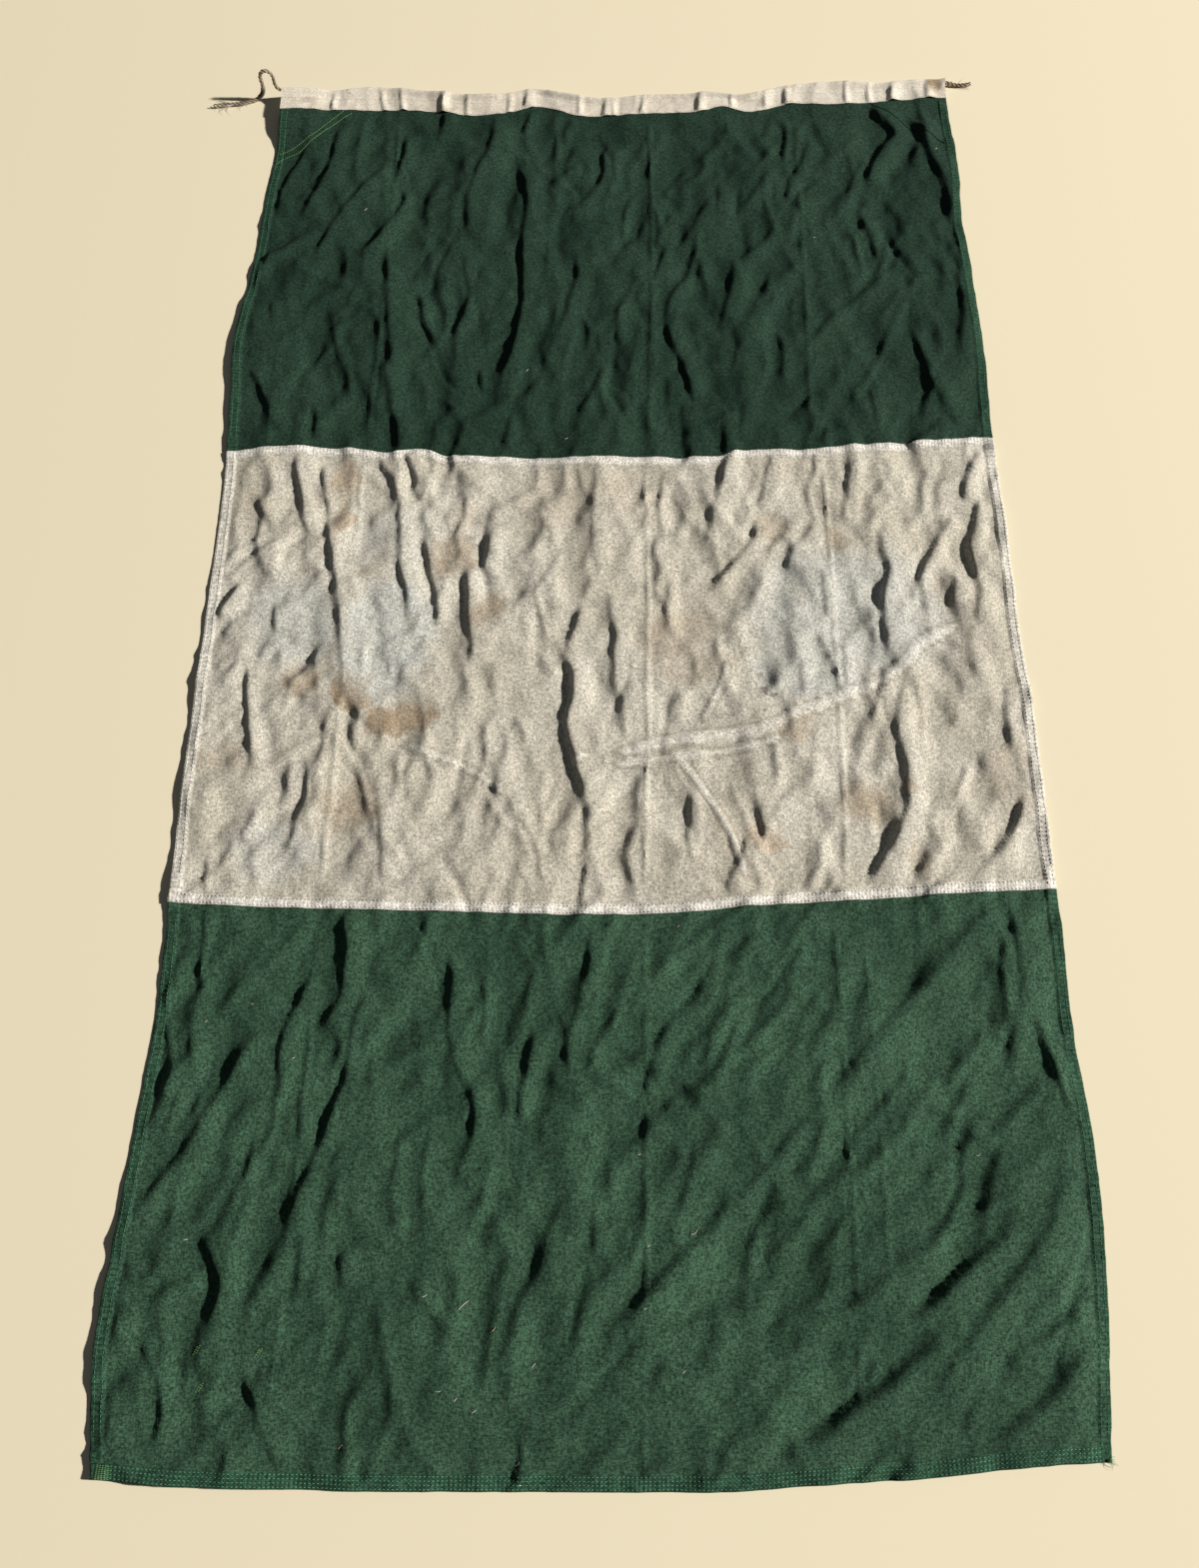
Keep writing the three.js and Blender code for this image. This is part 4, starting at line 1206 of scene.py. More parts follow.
def dress(piece: Piece, finish: ClothFinish | ThreadFinish) -> Piece:
    """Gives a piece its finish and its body.

    Args:
        piece: The piece.
        finish: Its finish, made once and shared by name.

    Returns:
        The piece.
    """
    piece.data.materials.append(material_of(finish))
    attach(piece, BODY)
    return piece


def fine_piece(name: str, mesh: Mesh, finish: ThreadFinish) -> Piece:
    """A dressed piece of thread or rope, shaded smooth all round."""
    return dress(new_piece(name, *mesh, THREAD_CREASE_DEG), finish)


def mark(piece: Piece, name: str, values: Array) -> None:
    """Stores a value for each vertex for the finish to read: wear and painted highlight, how much hem, and
    painted highlight and shade on the tucks.
    """
    layer = piece.data.attributes.new(name, "FLOAT", "POINT")
    layer.data.foreach_set("value", values.astype(np.float32).ravel())


# ---- The sewn pieces ----
class Band(Enum):
    """Which band of the flag a panel is."""

    HOIST = "hoist"
    CENTRE = "centre"
    FLY = "fly"


@dataclass
class ClothPanel:
    """One band of cloth between two lines across the flag, with hems down its sides."""

    name: str
    band: Band
    upper: EdgeLine
    lower: EdgeLine
    finish: ClothFinish
    slot: str
    flat: tuple[float, float]
    rows: int = 134
    side_steps: tuple[float, ...] = (0, 0.5, 1.3, 2.6, 5, 7.6, 10, 11.4, 12.6, 14.6)
    column_pitch: float = 2.75 * MM
    ragged: tuple[tuple[float, float, int], ...] = ((1.3, 0.034, 41), (0.7, 0.011, 42))
    pucker: float = 0.35 * MM
    pucker_size: float = 8.5 * MM
    side_hem_extra: float = 0.9 * MM
    lap_extra: float = 0.8 * MM
    fly_hem_extra: float = 1.3 * MM
    edge_round: float = 1.2 * MM
    side_hem_share: float = 0.6
    # Painted highlight on the tallest fold tops, and wear along the side hems.
    crest_highlight: float = 0.55
    worn_side: float = 0.6

    def shares(self) -> Array:
        """Where the grid's columns stand, 0 at the left edge and 1 at the right."""
        steps = np.array(self.side_steps) * MM / (2 * HALF_WIDTH)
        columns = int((1 - 2 * steps[-1]) * 2 * HALF_WIDTH / self.column_pitch)
        middle = np.linspace(steps[-1], 1 - steps[-1], columns)
        return np.concatenate([steps[:-1], middle, 1 - steps[-2::-1]])

    def levels(self) -> Array:
        """Where the grid's rows stand, 0 at the upper line and 1 at the lower."""
        length = float(self.upper.at(np.zeros(1))[0] - self.lower.at(np.zeros(1))[0])
        steps = np.array(self.side_steps) * MM / length
        middle = np.linspace(steps[-1], 1 - steps[-1], self.rows - 2 * len(steps) + 2)
        return np.concatenate([steps[:-1], middle, 1 - steps[-2::-1]])

    def plan(self) -> tuple[Array, Array]:
        """Ground positions of the grid points."""
        share, level = np.meshgrid(self.shares(), self.levels())

        def across(x: Array) -> Array:
            """The row's offset at a position along it."""
            return self.upper.at(x) * (1 - level) + self.lower.at(x) * level

        rough = across(-HALF_WIDTH + share * 2 * HALF_WIDTH)
        x = LEFT_EDGE.at(rough) * (1 - share) + RIGHT_EDGE.at(rough) * share
        ragged = sum(far * MM * gradient_noise(rough / size, share * 2, seed)
                     for far, size, seed in self.ragged)
        edge = np.minimum(share, 1 - share) * 2 * HALF_WIDTH
        x = x + ragged * (1 - smoothstep(0.0, 0.03, edge)) * np.where(share < 0.5, 1, -1)
        return x, across(x)

    def heights(self, x: Array, y: Array) -> tuple[Array, Array]:
        """Heights of the cloth's underside and top side.

        Args:
            x: Positions along the heading.
            y: Positions towards the heading.

        Returns:
            Underside and top heights in metres.
        """
        side = np.minimum(x - LEFT_EDGE.at(y), RIGHT_EDGE.at(y) - x)
        from_upper, from_lower = self.upper.at(x) - y, y - self.lower.at(x)
        rise = np.zeros_like(x)
        thick = np.full_like(x, CLOTH)
        pucker = self.pucker * gradient_noise(x / self.pucker_size, y / self.pucker_size, 51)
        hem = 1 - smoothstep(SIDE_HEM - 0.8 * MM, SIDE_HEM + 0.6 * MM, side)
        thick = thick + hem * (self.side_hem_extra + pucker)
        if self.band is Band.HOIST:
            tucked = 1 - smoothstep(HEADING_TUCK + 1 * MM, HEADING_TUCK + 8 * MM, from_upper)
            rise = rise + tucked * (CANVAS + LAYER_GAP)
            thick = np.where(from_upper < HEADING_TUCK + 2 * MM, CLOTH, thick)
            thick = np.where(from_lower < SEAM_LAP, CLOTH, thick)
        elif self.band is Band.CENTRE:
            for distance in (from_upper, from_lower):
                lap = 1 - smoothstep(SEAM_LAP - 0.6 * MM, SEAM_LAP + 5 * MM, distance)
                rise = rise + lap * (CLOTH + LAYER_GAP)
                turned = 1 - smoothstep(SEAM_LAP - 1.4 * MM, SEAM_LAP - 0.2 * MM, distance)
                thick = np.maximum(thick, CLOTH + turned * (self.lap_extra + pucker))
        else:
            thick = np.where(from_upper < SEAM_LAP, CLOTH, thick)
            turned = 1 - smoothstep(FLY_HEM - 0.8 * MM, FLY_HEM + 0.6 * MM, from_lower)
            thick = np.maximum(thick, CLOTH + turned * (self.fly_hem_extra + pucker))
        nearest = np.minimum(np.minimum(side, from_upper), from_lower)
        round_off = np.sqrt(np.clip(1 - (1 - np.clip(nearest / self.edge_round, 0, 1)) ** 2, 0, 1))
        under = LIE.height(x, y) + rise
        half = thick / 2
        return under + half * (1 - round_off) * 0.9, under + half + half * (0.1 + 0.9 * round_off)

    def top(self, x: Array, y: Array) -> Array:
        """The top side's height, for what is sewn on it."""
        return self.heights(x, y)[1]

    def hem_share(self, x: Array, y: Array, side: Array) -> Array:
        """How much hem or lap there is: 1 in the seams, less in the side hems, 0 where it is single."""
        share = self.side_hem_share * (1 - smoothstep(SIDE_HEM - 1 * MM, SIDE_HEM + 1 * MM, side))
        laps = {Band.HOIST: (), Band.CENTRE: (self.upper.at(x) - y, y - self.lower.at(x)),
                Band.FLY: (y - self.lower.at(x) - 3 * MM,)}[self.band]
        for distance in laps:
            share = np.maximum(share, 1 - smoothstep(SEAM_LAP - 2 * MM, SEAM_LAP + 1 * MM, distance))
        return share

    def painted_tuck_light_share(self, x: Array, y: Array) -> Array:
        """Where a tuck was pressed flat: 1 on its top, which gets a painted highlight, and below 0 just beside
        it, which gets painted shade.
        """
        rise = np.maximum.reduce([tuck.at(x, y) for tuck in PAINTED_LIGHT_TUCKS])
        top = smoothstep(1.0 * MM, 2.0 * MM, rise)
        return top - smoothstep(0.05 * MM, 0.5 * MM, rise) * (1 - top)

    def build(self) -> Piece:
        """Makes the panel, with its worn side edges, its painted highlight on the fold tops, its hems and its
        tucks' painted highlight and shade marked on both faces.
        """
        x, y = self.plan()
        under, over = self.heights(x, y)
        points, faces = closed_sheet(np.dstack([x, y, under]), np.dstack([x, y, over]))
        piece = new_piece(self.name, points, faces)
        # The tallest fold tops get a painted highlight; the side hems get wear.
        crest = smoothstep(6 * MM, 13 * MM, LIE.height(x, y))
        side = np.minimum(x - LEFT_EDGE.at(y), RIGHT_EDGE.at(y) - x)
        wear_and_highlight_share = self.crest_highlight * crest + self.worn_side * (1 - smoothstep(0.0, SIDE_HEM, side))
        marks = {"wear_and_highlight": np.clip(wear_and_highlight_share, 0, 1), "hem": self.hem_share(x, y, side),
                 "painted_tuck_light": self.painted_tuck_light_share(x, y)}
        for name, values in marks.items():
            mark(piece, name, np.concatenate([values.ravel()] * 2))
        return dress(piece, self.finish)


@dataclass
class CornerPatch:
    """A reinforcing corner of doubled cloth, sewn on the hoist panel beside the heading."""

    name: str
    corner: tuple[float, float]
    outer: Plan
    panel: ClothPanel
    cloth: float = 0.7 * MM
    rings: int = 26
    flat: tuple[float, float] = (0.11, 0.11)
    area: float = 0.0042
    blunt: float = 0.03
    wear_and_highlight: float = 0.25

    def build(self) -> Piece:
        """Makes the patch: a fan from its corner to its sewn outer line."""
        outer = smooth_path([(*p, 0.0) for p in np.array(self.outer) * MM], 3 * MM)[:, :2]
        if self.corner[0] > 0:
            outer = outer[::-1]
        start = np.array(self.corner) * MM
        reach = np.linspace(self.blunt, 1.0, self.rings)[:, None, None]
        ground = start + (outer[None] - start) * reach
        x, y = ground[..., 0], ground[..., 1]
        under = self.panel.top(x, y) + 0.1 * MM
        over = under + self.cloth
        points, faces = closed_sheet(np.dstack([x, y, under]), np.dstack([x, y, over]))
        piece = new_piece(self.name, points, faces)
        mark(piece, "wear_and_highlight", np.full(len(points), self.wear_and_highlight))
        return dress(piece, self.panel.finish)


@dataclass
class Heading:
    """The canvas strip along the hoist: folded round the rope, with its edge sewn to the panel."""

    name: str = "heading_strip"
    rope_clearance: float = 0.3 * MM
    pitch: float = 2.4 * MM
    arc_steps: int = 9
    scallop: float = 0.9 * MM
    pucker: float = 0.45 * MM
    wear_and_highlight: float = 0.4
    pleats: tuple[Fold, ...] = tuple(fold(depth, *path, ends=0.1) for depth, *path in (
        (P, (-385, 826), (-389, 800), (-388, 784)), (P, (-325, 832), (-323, 810), (-317, 785)),
        (P, (-297, 830), (-296, 808), (-292, 784)), (N, (-240, 826), (-242, 802), (-240, 782)),
        (P, (-233, 825), (-239, 805), (-237, 783)), (P, (-205, 822), (-206, 800), (-205, 780)),
        (P, (-148, 824), (-147, 800), (-150, 782)), (N, (-124, 830), (-125, 812), (-126, 796)),
        (P, (-52, 822), (-52, 800), (-53, 784)), (N, (-16, 818), (-17, 800), (-19, 782)),
        (P, (-6, 818), (-5, 800), (-5, 782)), (P, (36, 822), (35, 805), (33, 788)),
        (N, (112, 828), (111, 810), (110, 792)), (P, (158, 830), (156, 815), (157, 802)),
        (N, (203, 836), (201, 820), (202, 802)), (N, (232, 843), (230, 826), (231, 808)),
        (P, (315, 852), (313, 830), (314, 810)), (P, (347, 853), (345, 834), (346, 814)),
        (N, (380, 856), (377, 838), (375, 816)), (N, (428, 860), (427, 842), (425, 822)),
    )) + (fold(P, (-165, 820), (-165, 812), (-164, 806), ends=0.2),)

    def __post_init__(self) -> None:
        """Works out the section's radii and heights."""
        self.inner = ROPE_DIAMETER / 2 + self.rope_clearance
        self.outer = self.inner + CANVAS
        self.sewn_under = CANVAS + LAYER_GAP + CLOTH + LAYER_GAP
        self.sewn_top = self.sewn_under + CANVAS

    def place(self, x: Array, across: Array) -> tuple[Array, Array]:
        """Ground positions for shares along x and distances from the far edge."""
        part = across / HEADING_WIDTH
        y = HEADING_TOP.at(x) * (1 - part) + HEADING_BOTTOM.at(x) * part
        scallop = self.scallop * gradient_noise(x / 0.021, x * 0, 61) * smoothstep(0.5, 1.0, part)
        return x, y + scallop

    def bend(self, x: Array, y: Array) -> Array:
        """How far the top layer stands up in its pleats and puckers."""
        pleats = sum(pleat.at(x, y) for pleat in self.pleats)
        return pleats + self.pucker * gradient_noise(x / 0.012, y / 0.03, 62)

    def top(self, x: Array, y: Array) -> Array:
        """The sewn flat's top height, for the stitches."""
        return LIE.height(x, y) + self.sewn_top + self.bend(x, y)

    def section(self) -> tuple[Array, Array, Array]:
        """The strip's closed section.

        Returns:
            Distances from the far edge, heights above the ground lie, and how much each point
            follows the pleats.
        """
        start = HEADING_WIDTH - HEADING_TUCK
        turn = np.linspace(-math.pi / 2, math.pi / 2, self.arc_steps)

        def arc(radius: float) -> list[tuple[float, float, float]]:
            """Half a turn round the rope, from below to above."""
            return [(self.outer - radius * math.cos(a), self.outer + radius * math.sin(a),
                     0.35 * max(math.sin(a), 0.0)) for a in turn]

        flat = np.linspace(start, HEADING_WIDTH, 9)
        slope = np.linspace(self.outer, start, 6)[1:-1]
        ease = [(a, float(smoothstep(self.outer, start, np.array(a)))) for a in slope]
        top_of = [(a, 2 * self.outer * (1 - e) + self.sewn_top * e, 0.35 + 0.65 * e) for a, e in ease]
        below = [(a, 2 * self.outer * (1 - e) + self.sewn_top * e - CANVAS, 0.35 + 0.65 * e) for a, e in ease]
        outside = [(a, 0.0, 0.0) for a in flat[::-1]] + arc(self.outer) + top_of
        outside += [(a, self.sewn_top, 1.0) for a in flat]
        inside = [(a, self.sewn_under, 1.0) for a in flat[::-1]] + below[::-1]
        inside += arc(self.inner)[::-1] + [(a, CANVAS, 0.0) for a in flat]
        return tuple(np.array(column) for column in zip(*(outside + inside)))

    def build(self) -> Piece:
        """Sweeps the section along the hoist."""
        across, up, follow = self.section()
        count = int(2 * HALF_WIDTH / self.pitch)
        share = np.linspace(0, 1, count)
        left, right = LEFT_EDGE.at(np.array(0.8)), RIGHT_EDGE.at(np.array(0.84))
        along = left + (right - left) * share
        x, a = np.meshgrid(along, across, indexing="ij")
        x, y = self.place(x, a)
        z = LIE.height(x, y) + up[None] + follow[None] * self.bend(x, y)
        points = np.dstack([x, y, z]).reshape(-1, 3)
        ring = len(across)
        faces = []
        for k in range(count - 1):
            base = k * ring
            for n in range(ring):
                m = (n + 1) % ring
                faces.append((base + n, base + m, base + ring + m, base + ring + n))
        half = ring // 2
        for n in range(half - 1):
            faces.append((n + 1, n, ring - 1 - n, ring - 2 - n))
            last = (count - 1) * ring
            faces.append((last + n, last + n + 1, last + ring - 2 - n, last + ring - 1 - n))
        faces = [tuple(reversed(face)) for face in faces]
        piece = new_piece(self.name, points, faces)
        mark(piece, "wear_and_highlight", np.full(len(points), self.wear_and_highlight))
        return dress(piece, CANVAS_FINISH)


@dataclass
class StitchRow:
    """One row of machine stitches along a ground line, on top of a piece."""

    line: Array
    surface: ClothPanel | Heading
    pitch: float = STITCH_PITCH
    share: float = 0.68
    radius: float = 0.33 * MM
    slant: float = 0.0
    lift: float = 0.05 * MM
    rise: float = 0.28 * MM

    def beads(self) -> Mesh:
        """The row's stitches as joined beads."""
        walked = np.concatenate([[0], np.cumsum(np.hypot(*np.diff(self.line, axis=0).T))])
        starts = np.arange(0.4 * self.pitch, walked[-1] - self.pitch, self.pitch)

        def point(at: Array, side: float) -> Array:
            """A point of the row, moved sideways for a slanting stitch."""
            x, y = (np.interp(at, walked, self.line[:, k]) for k in (0, 1))
            ahead = np.stack([np.interp(at + 1e-3, walked, self.line[:, k]) - v for k, v in ((0, x), (1, y))])
            ahead /= np.hypot(*ahead) + 1e-9
            x, y = x - ahead[1] * side, y + ahead[0] * side
            return np.stack([x, y, self.surface.top(x, y) + self.lift], 1)

        ends = starts + self.share * self.pitch
        return stitch_beads(point(starts, -self.slant / 2), point(ends, self.slant / 2),
                            self.radius, self.rise)


@dataclass
class Sewing:
    """The stitches of one thread colour on one piece."""

    name: str
    finish: ThreadFinish
    slot: str
    rows: list[StitchRow]

    def build(self) -> Piece:
        """Makes all the rows as one joined mesh."""
        return fine_piece(self.name, join(row.beads() for row in self.rows), self.finish)


def side_line(edge: EdgeLine, inset: float, low: float, high: float) -> Array:
    """A line down one side of the flag.

    Args:
        edge: The side's outline.
        inset: How far the line lies inside it, along +X.
        low: The line's lowest y.
        high: Its highest y.

    Returns:
        Ground points in metres.
    """
    y = np.linspace(high, low, int((high - low) / (2 * MM)))
    return np.stack([edge.at(y) + inset, y], 1)


def side_rows(insets: Sequence[float], low: float, high: float, **row: object) -> list[StitchRow]:
    """Stitch rows down both sides of the flag, with their insets in millimetres."""
    return [StitchRow(side_line(edge, way * inset * MM, low, high), **row)
            for edge, way in ((LEFT_EDGE, 1), (RIGHT_EDGE, -1)) for inset in insets]


def cross_rows(line: EdgeLine, insets: Sequence[float], *span: float, **row: object) -> list[StitchRow]:
    """Stitch rows across the flag, with their insets in millimetres."""
    return [StitchRow(cross_line(line, inset * MM, *span), **row) for inset in insets]


def cross_line(line: EdgeLine, inset: float, low: float = -0.448, high: float = 0.45) -> Array:
    """A line across the flag, moved by an inset along +Y."""
    x = np.linspace(low, high, int((high - low) / (2 * MM)))
    return np.stack([x, line.at(x) + inset], 1)


# ---- Rope ----
LOOP_ROUTE = (
    (-0.457, 0.8102, 0.0164), (-0.4602, 0.8108, 0.0174), (-0.463, 0.8118, 0.021), (-0.464, 0.8126, 0.0264),
    (-0.4638, 0.813, 0.032), (-0.465, 0.813, 0.037), (-0.4684, 0.813, 0.041), (-0.473, 0.8126, 0.0424),
    (-0.4776, 0.812, 0.0406), (-0.4804, 0.8116, 0.0364), (-0.481, 0.811, 0.031), (-0.4806, 0.8106, 0.025),
    (-0.4806, 0.81, 0.019), (-0.482, 0.8096, 0.0134), (-0.485, 0.809, 0.0086), (-0.4896, 0.808, 0.005),
    (-0.495, 0.806, 0.0032), (-0.5006, 0.804, 0.0027), (-0.507, 0.8016, 0.0027), (-0.514, 0.7996, 0.0027),
    (-0.522, 0.7986, 0.0027), (-0.531, 0.7976, 0.0027), (-0.541, 0.796, 0.0027), (-0.551, 0.794, 0.0027),
)
END_ROUTE = (
    (0.456, 0.8546, 0.0041), (0.459, 0.8542, 0.00405), (0.462, 0.8536, 0.0039), (0.465, 0.853, 0.0036),
    (0.468, 0.8524, 0.0032), (0.471, 0.852, 0.0029), (0.474, 0.8518, 0.0027), (0.477, 0.8518, 0.0027),
    (0.480, 0.852, 0.0027), (0.483, 0.8524, 0.0027), (0.486, 0.853, 0.0027), (0.489, 0.8538, 0.0027),
    (0.492, 0.8548, 0.0027),
)


@dataclass
class LaidRope:
    """A rope of three laid strands along a route, which may come unlaid towards its end."""

    name: str
    route: tuple[tuple[float, float, float], ...]
    unlaid_from: float = 1.0
    lay_length: float = 17 * MM
    strand_sides: int = 8
    step: float = 0.9 * MM

    def strands(self) -> Mesh:
        """The three strands as tubes wound round the route."""
        path = smooth_path(self.route, self.step)
        walked = np.arange(len(path)) * self.step
        share = walked / walked[-1]
        loose = smoothstep(self.unlaid_from, 1.0, share) if self.unlaid_from < 1 else share * 0
        sides, ups = carried_frames(path, np.array((0.0, 1.0, 0.0)))
        offset = ROPE_DIAMETER * (0.27 + 0.10 * loose)
        radius = ROPE_DIAMETER * (0.235 - 0.08 * loose)
        parts = []
        for strand in range(3):
            angle = 2 * math.pi * (walked / self.lay_length + strand / 3)
            centre = path + offset[:, None] * (np.cos(angle)[:, None] * sides + np.sin(angle)[:, None] * ups)
            centre[:, 2] = np.maximum(centre[:, 2], radius + 0.1 * MM)
            parts.append(tube(centre, radius, self.strand_sides))
        return join(parts)

    def build(self) -> Piece:
        """Makes the rope."""
        return fine_piece(self.name, self.strands(), ROPE)

    def declare(self, length: float, with_pieces: Sequence[Piece]) -> None:
        """Takes the rope's length and the pieces that go with it, and does nothing with them."""


@dataclass
class Frays:
    """A brush of loose fibres where a rope or a cloth corner has frayed."""

    name: str
    root: tuple[float, float, float]
    heading_deg: float
    count: int
    length: tuple[float, float]
    spread_deg: float
    seed: int
    radius: float = 0.28 * MM
    finish: ThreadFinish = FRAY
    slot: str = "rope_fibre"
    lift: float = 3.0 * MM

    def build(self) -> Piece:
        """Makes the fibres, each a thin curling tube that falls to the ground."""
        rng = np.random.default_rng(self.seed)
        parts = []
        for _ in range(self.count):
            length = rng.uniform(*self.length)
            angle = math.radians(self.heading_deg + rng.normal(0, self.spread_deg * 0.5))
            curl = rng.normal(0, 28.0)
            start = np.array(self.root) + rng.normal(0, 0.8 * MM, 3) * (1, 1, 0.6)
            t = np.linspace(0, 1, 14)
            bearing = angle + curl * t * length * 1.2
            steps = np.stack([np.cos(bearing), np.sin(bearing)], 1) * (length / 13)
            plan = start[:2] + np.vstack([[0, 0], np.cumsum(steps[1:], axis=0)])
            arch = abs(rng.normal(0, self.lift)) * np.sin(math.pi * t) * t
            high = start[2] * (1 - t) ** 2 + self.radius + arch
            path = np.column_stack([plan, np.maximum(high, self.radius)])
            parts.append(tube(path, self.radius * (1 - 0.75 * t), 4))
        return fine_piece(self.name, join(parts), self.finish)


def whipping(name: str, route: Array, turns: int, radius: float, thread: float) -> Piece:
    """Twine wound tightly round a rope.

    Args:
        name: The piece's name.
        route: Centre points of the rope under the twine.
        turns: Number of turns.
        radius: The winding's radius.
        thread: The twine's radius.

    Returns:
        The whipping.
    """
    t = np.linspace(0, 1, turns * 14)
    centre = np.stack([np.interp(t, np.linspace(0, 1, len(route)), route[:, k]) for k in range(3)], 1)
    ahead = headings(centre)
    side = np.cross(ahead, (0.0, 1.0, 0.0))
    side /= np.linalg.norm(side, axis=1, keepdims=True)
    up = np.cross(side, ahead)
    angle = 2 * math.pi * turns * t
    path = centre + radius * (np.cos(angle)[:, None] * side + np.sin(angle)[:, None] * up)
    path[:, 2] = np.maximum(path[:, 2], thread)
    return fine_piece(name, tube(path, np.full(len(path), thread), 5), WHIPPING)


# ---- Stage ----
@dataclass(frozen=True)
class Studio:
    """Camera, floor and lights."""

    eye: tuple[float, float, float] = (-0.010, -0.650, 1.2106)
    tilt_deg: float = 20.8
    roll_deg: float = 0.75
    lens: float = 27.53
    sun_elevation_deg: float = 29.0
    sun_azimuth_deg: float = 3.0
    sun_distance: float = 24.0
    sun_size: float = 1.2
    sun_power: float = 12000.0
    sky: float = 0.075
    sensor: float = 36.0
    floor_half: float = 4.0
    floor_colour: Colour = (0.775, 0.70, 0.52)
    key_colour: Colour = (1.0, 0.96, 0.90)
    sky_colour: Colour = (0.86, 0.92, 1.0)

    def camera(self) -> None:
        """Sets the camera above the flag's lower third, looking down and ahead."""
        data = bpy.data.cameras.new("camera")
        data.sensor_width = self.sensor
        data.lens = self.lens
        eye = new_object("camera", data)
        eye.matrix_world = (Matrix.Translation(self.eye)
                            @ Matrix.Rotation(math.radians(self.tilt_deg), 4, "X")
                            @ Matrix.Rotation(math.radians(self.roll_deg), 4, "Z"))
        bpy.context.scene.camera = eye

    def floor(self) -> None:
        """Lays a plain pale floor."""
        half = self.floor_half
        corners = np.array([(-half, half, 0), (-half, -half, 0), (half, -half, 0), (half, half, 0)], float)
        floor = new_piece("floor", corners, [(0, 1, 2, 3)])
        sheet = NodeSheet("pale_floor")
        sheet.set_shader(Base_Color=(*self.floor_colour, 1.0), Roughness=0.95, Specular_IOR_Level=0.1)
        floor.data.materials.append(sheet.material)

    def lights(self) -> None:
        """One low key light from the right and an even pale sky."""
        elevation, azimuth = math.radians(self.sun_elevation_deg), math.radians(self.sun_azimuth_deg)
        towards = Vector((math.cos(azimuth) * math.cos(elevation), math.sin(azimuth) * math.cos(elevation),
                          math.sin(elevation)))
        data = bpy.data.lights.new("key", "AREA")
        data.shape, data.size, data.energy = "DISK", self.sun_size, self.sun_power
        data.color = self.key_colour
        key = new_object("key", data)
        key.location = towards * self.sun_distance
        key.rotation_mode = "QUATERNION"
        key.rotation_quaternion = towards.to_track_quat("Z", "Y")
        world = bpy.context.scene.world or bpy.data.worlds.new("sky")
        bpy.context.scene.world = world
        world.use_nodes = True
        background = world.node_tree.nodes["Background"]
        background.inputs["Color"].default_value = (*self.sky_colour, 1.0)
        background.inputs["Strength"].default_value = self.sky
        bpy.context.scene.view_settings.view_transform = "Standard"


# ---- The flag ----
class RopeWork:
    """The rope in the heading, its standing bight and both frayed ends."""

    def build_free_ends(self) -> dict[str, Piece]:
        loop = LaidRope("rope_bight", LOOP_ROUTE, unlaid_from=0.8)
        end = LaidRope("rope_stub", END_ROUTE, unlaid_from=0.35)
        pieces = {"rope_bight": loop.build(), "rope_stub": end.build()}
        tail = Frays("bight_fray", (-0.522, 0.7986, 0.0032), 188.0, 30, (0.014, 0.030), 26.0, 5)
        tail_root = Frays("bight_fray_root", (-0.500, 0.804, 0.0032), 196.0, 14, (0.010, 0.026), 34.0, 6)
        stub = Frays("stub_fray", (0.474, 0.8518, 0.0032), 4.0, 26, (0.008, 0.022), 40.0, 7)
        strand = Frays("stub_strand", (0.462, 0.8536, 0.004), 38.0, 3, (0.010, 0.014), 10.0, 8)
        brushes = {brush.name: brush.build() for brush in (tail, tail_root, stub, strand)}
        neck = smooth_path(LOOP_ROUTE[12:16], 0.5 * MM)
        brushes["rope_whipping"] = whipping("rope_whipping", neck, 9, ROPE_DIAMETER * 0.53, 0.5 * MM)
        loop.declare(0.150, [brushes["bight_fray"], brushes["bight_fray_root"], brushes["rope_whipping"]])
        end.declare(0.036, [brushes["stub_fray"], brushes["stub_strand"]])
        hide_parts("rope_loop")
        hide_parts("rope_end")
        return {**pieces, **brushes}

    def build_hidden(self, heading: Heading) -> Piece:
        """Makes the stretch that runs inside the heading."""
        x = np.linspace(-0.4555, 0.4545, 300)
        x, y = heading.place(x, np.full_like(x, heading.outer))
        path = np.column_stack([x, y, LIE.height(x, y) + heading.outer])
        run = tube(path, np.full(len(path), ROPE_DIAMETER / 2 - 0.2 * MM), 8)
        piece = fine_piece("heading_rope", run, ROPE)
        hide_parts("hoist_rope")
        return piece


# Where bits of lint lie, in millimetres: x, y and how long each is
LINT_SPOTS = (
    (-129, -708, 12), (-101, -728, 5), (-232, -825, 5), (-165, -700, 5), (-63, -758, 5), (-393, -655, 4),
    (-326, 607, 5), (-106, 354, 4), (-56, 254, 4), (431, 725, 4), (260, 571, 3), (360, -569, 4),
    (33, -573, 3), (73, -348, 3), (38, -709, 3), (73, -761, 3), (42, -655, 3), (-309, -486, 3),
    (-356, -433, 3), (-400, -451, 3), (-148, -779, 5), (-132, -786, 4), (-115, -795, 5), (-75, -837, 5),
    (85, -642, 8),
)


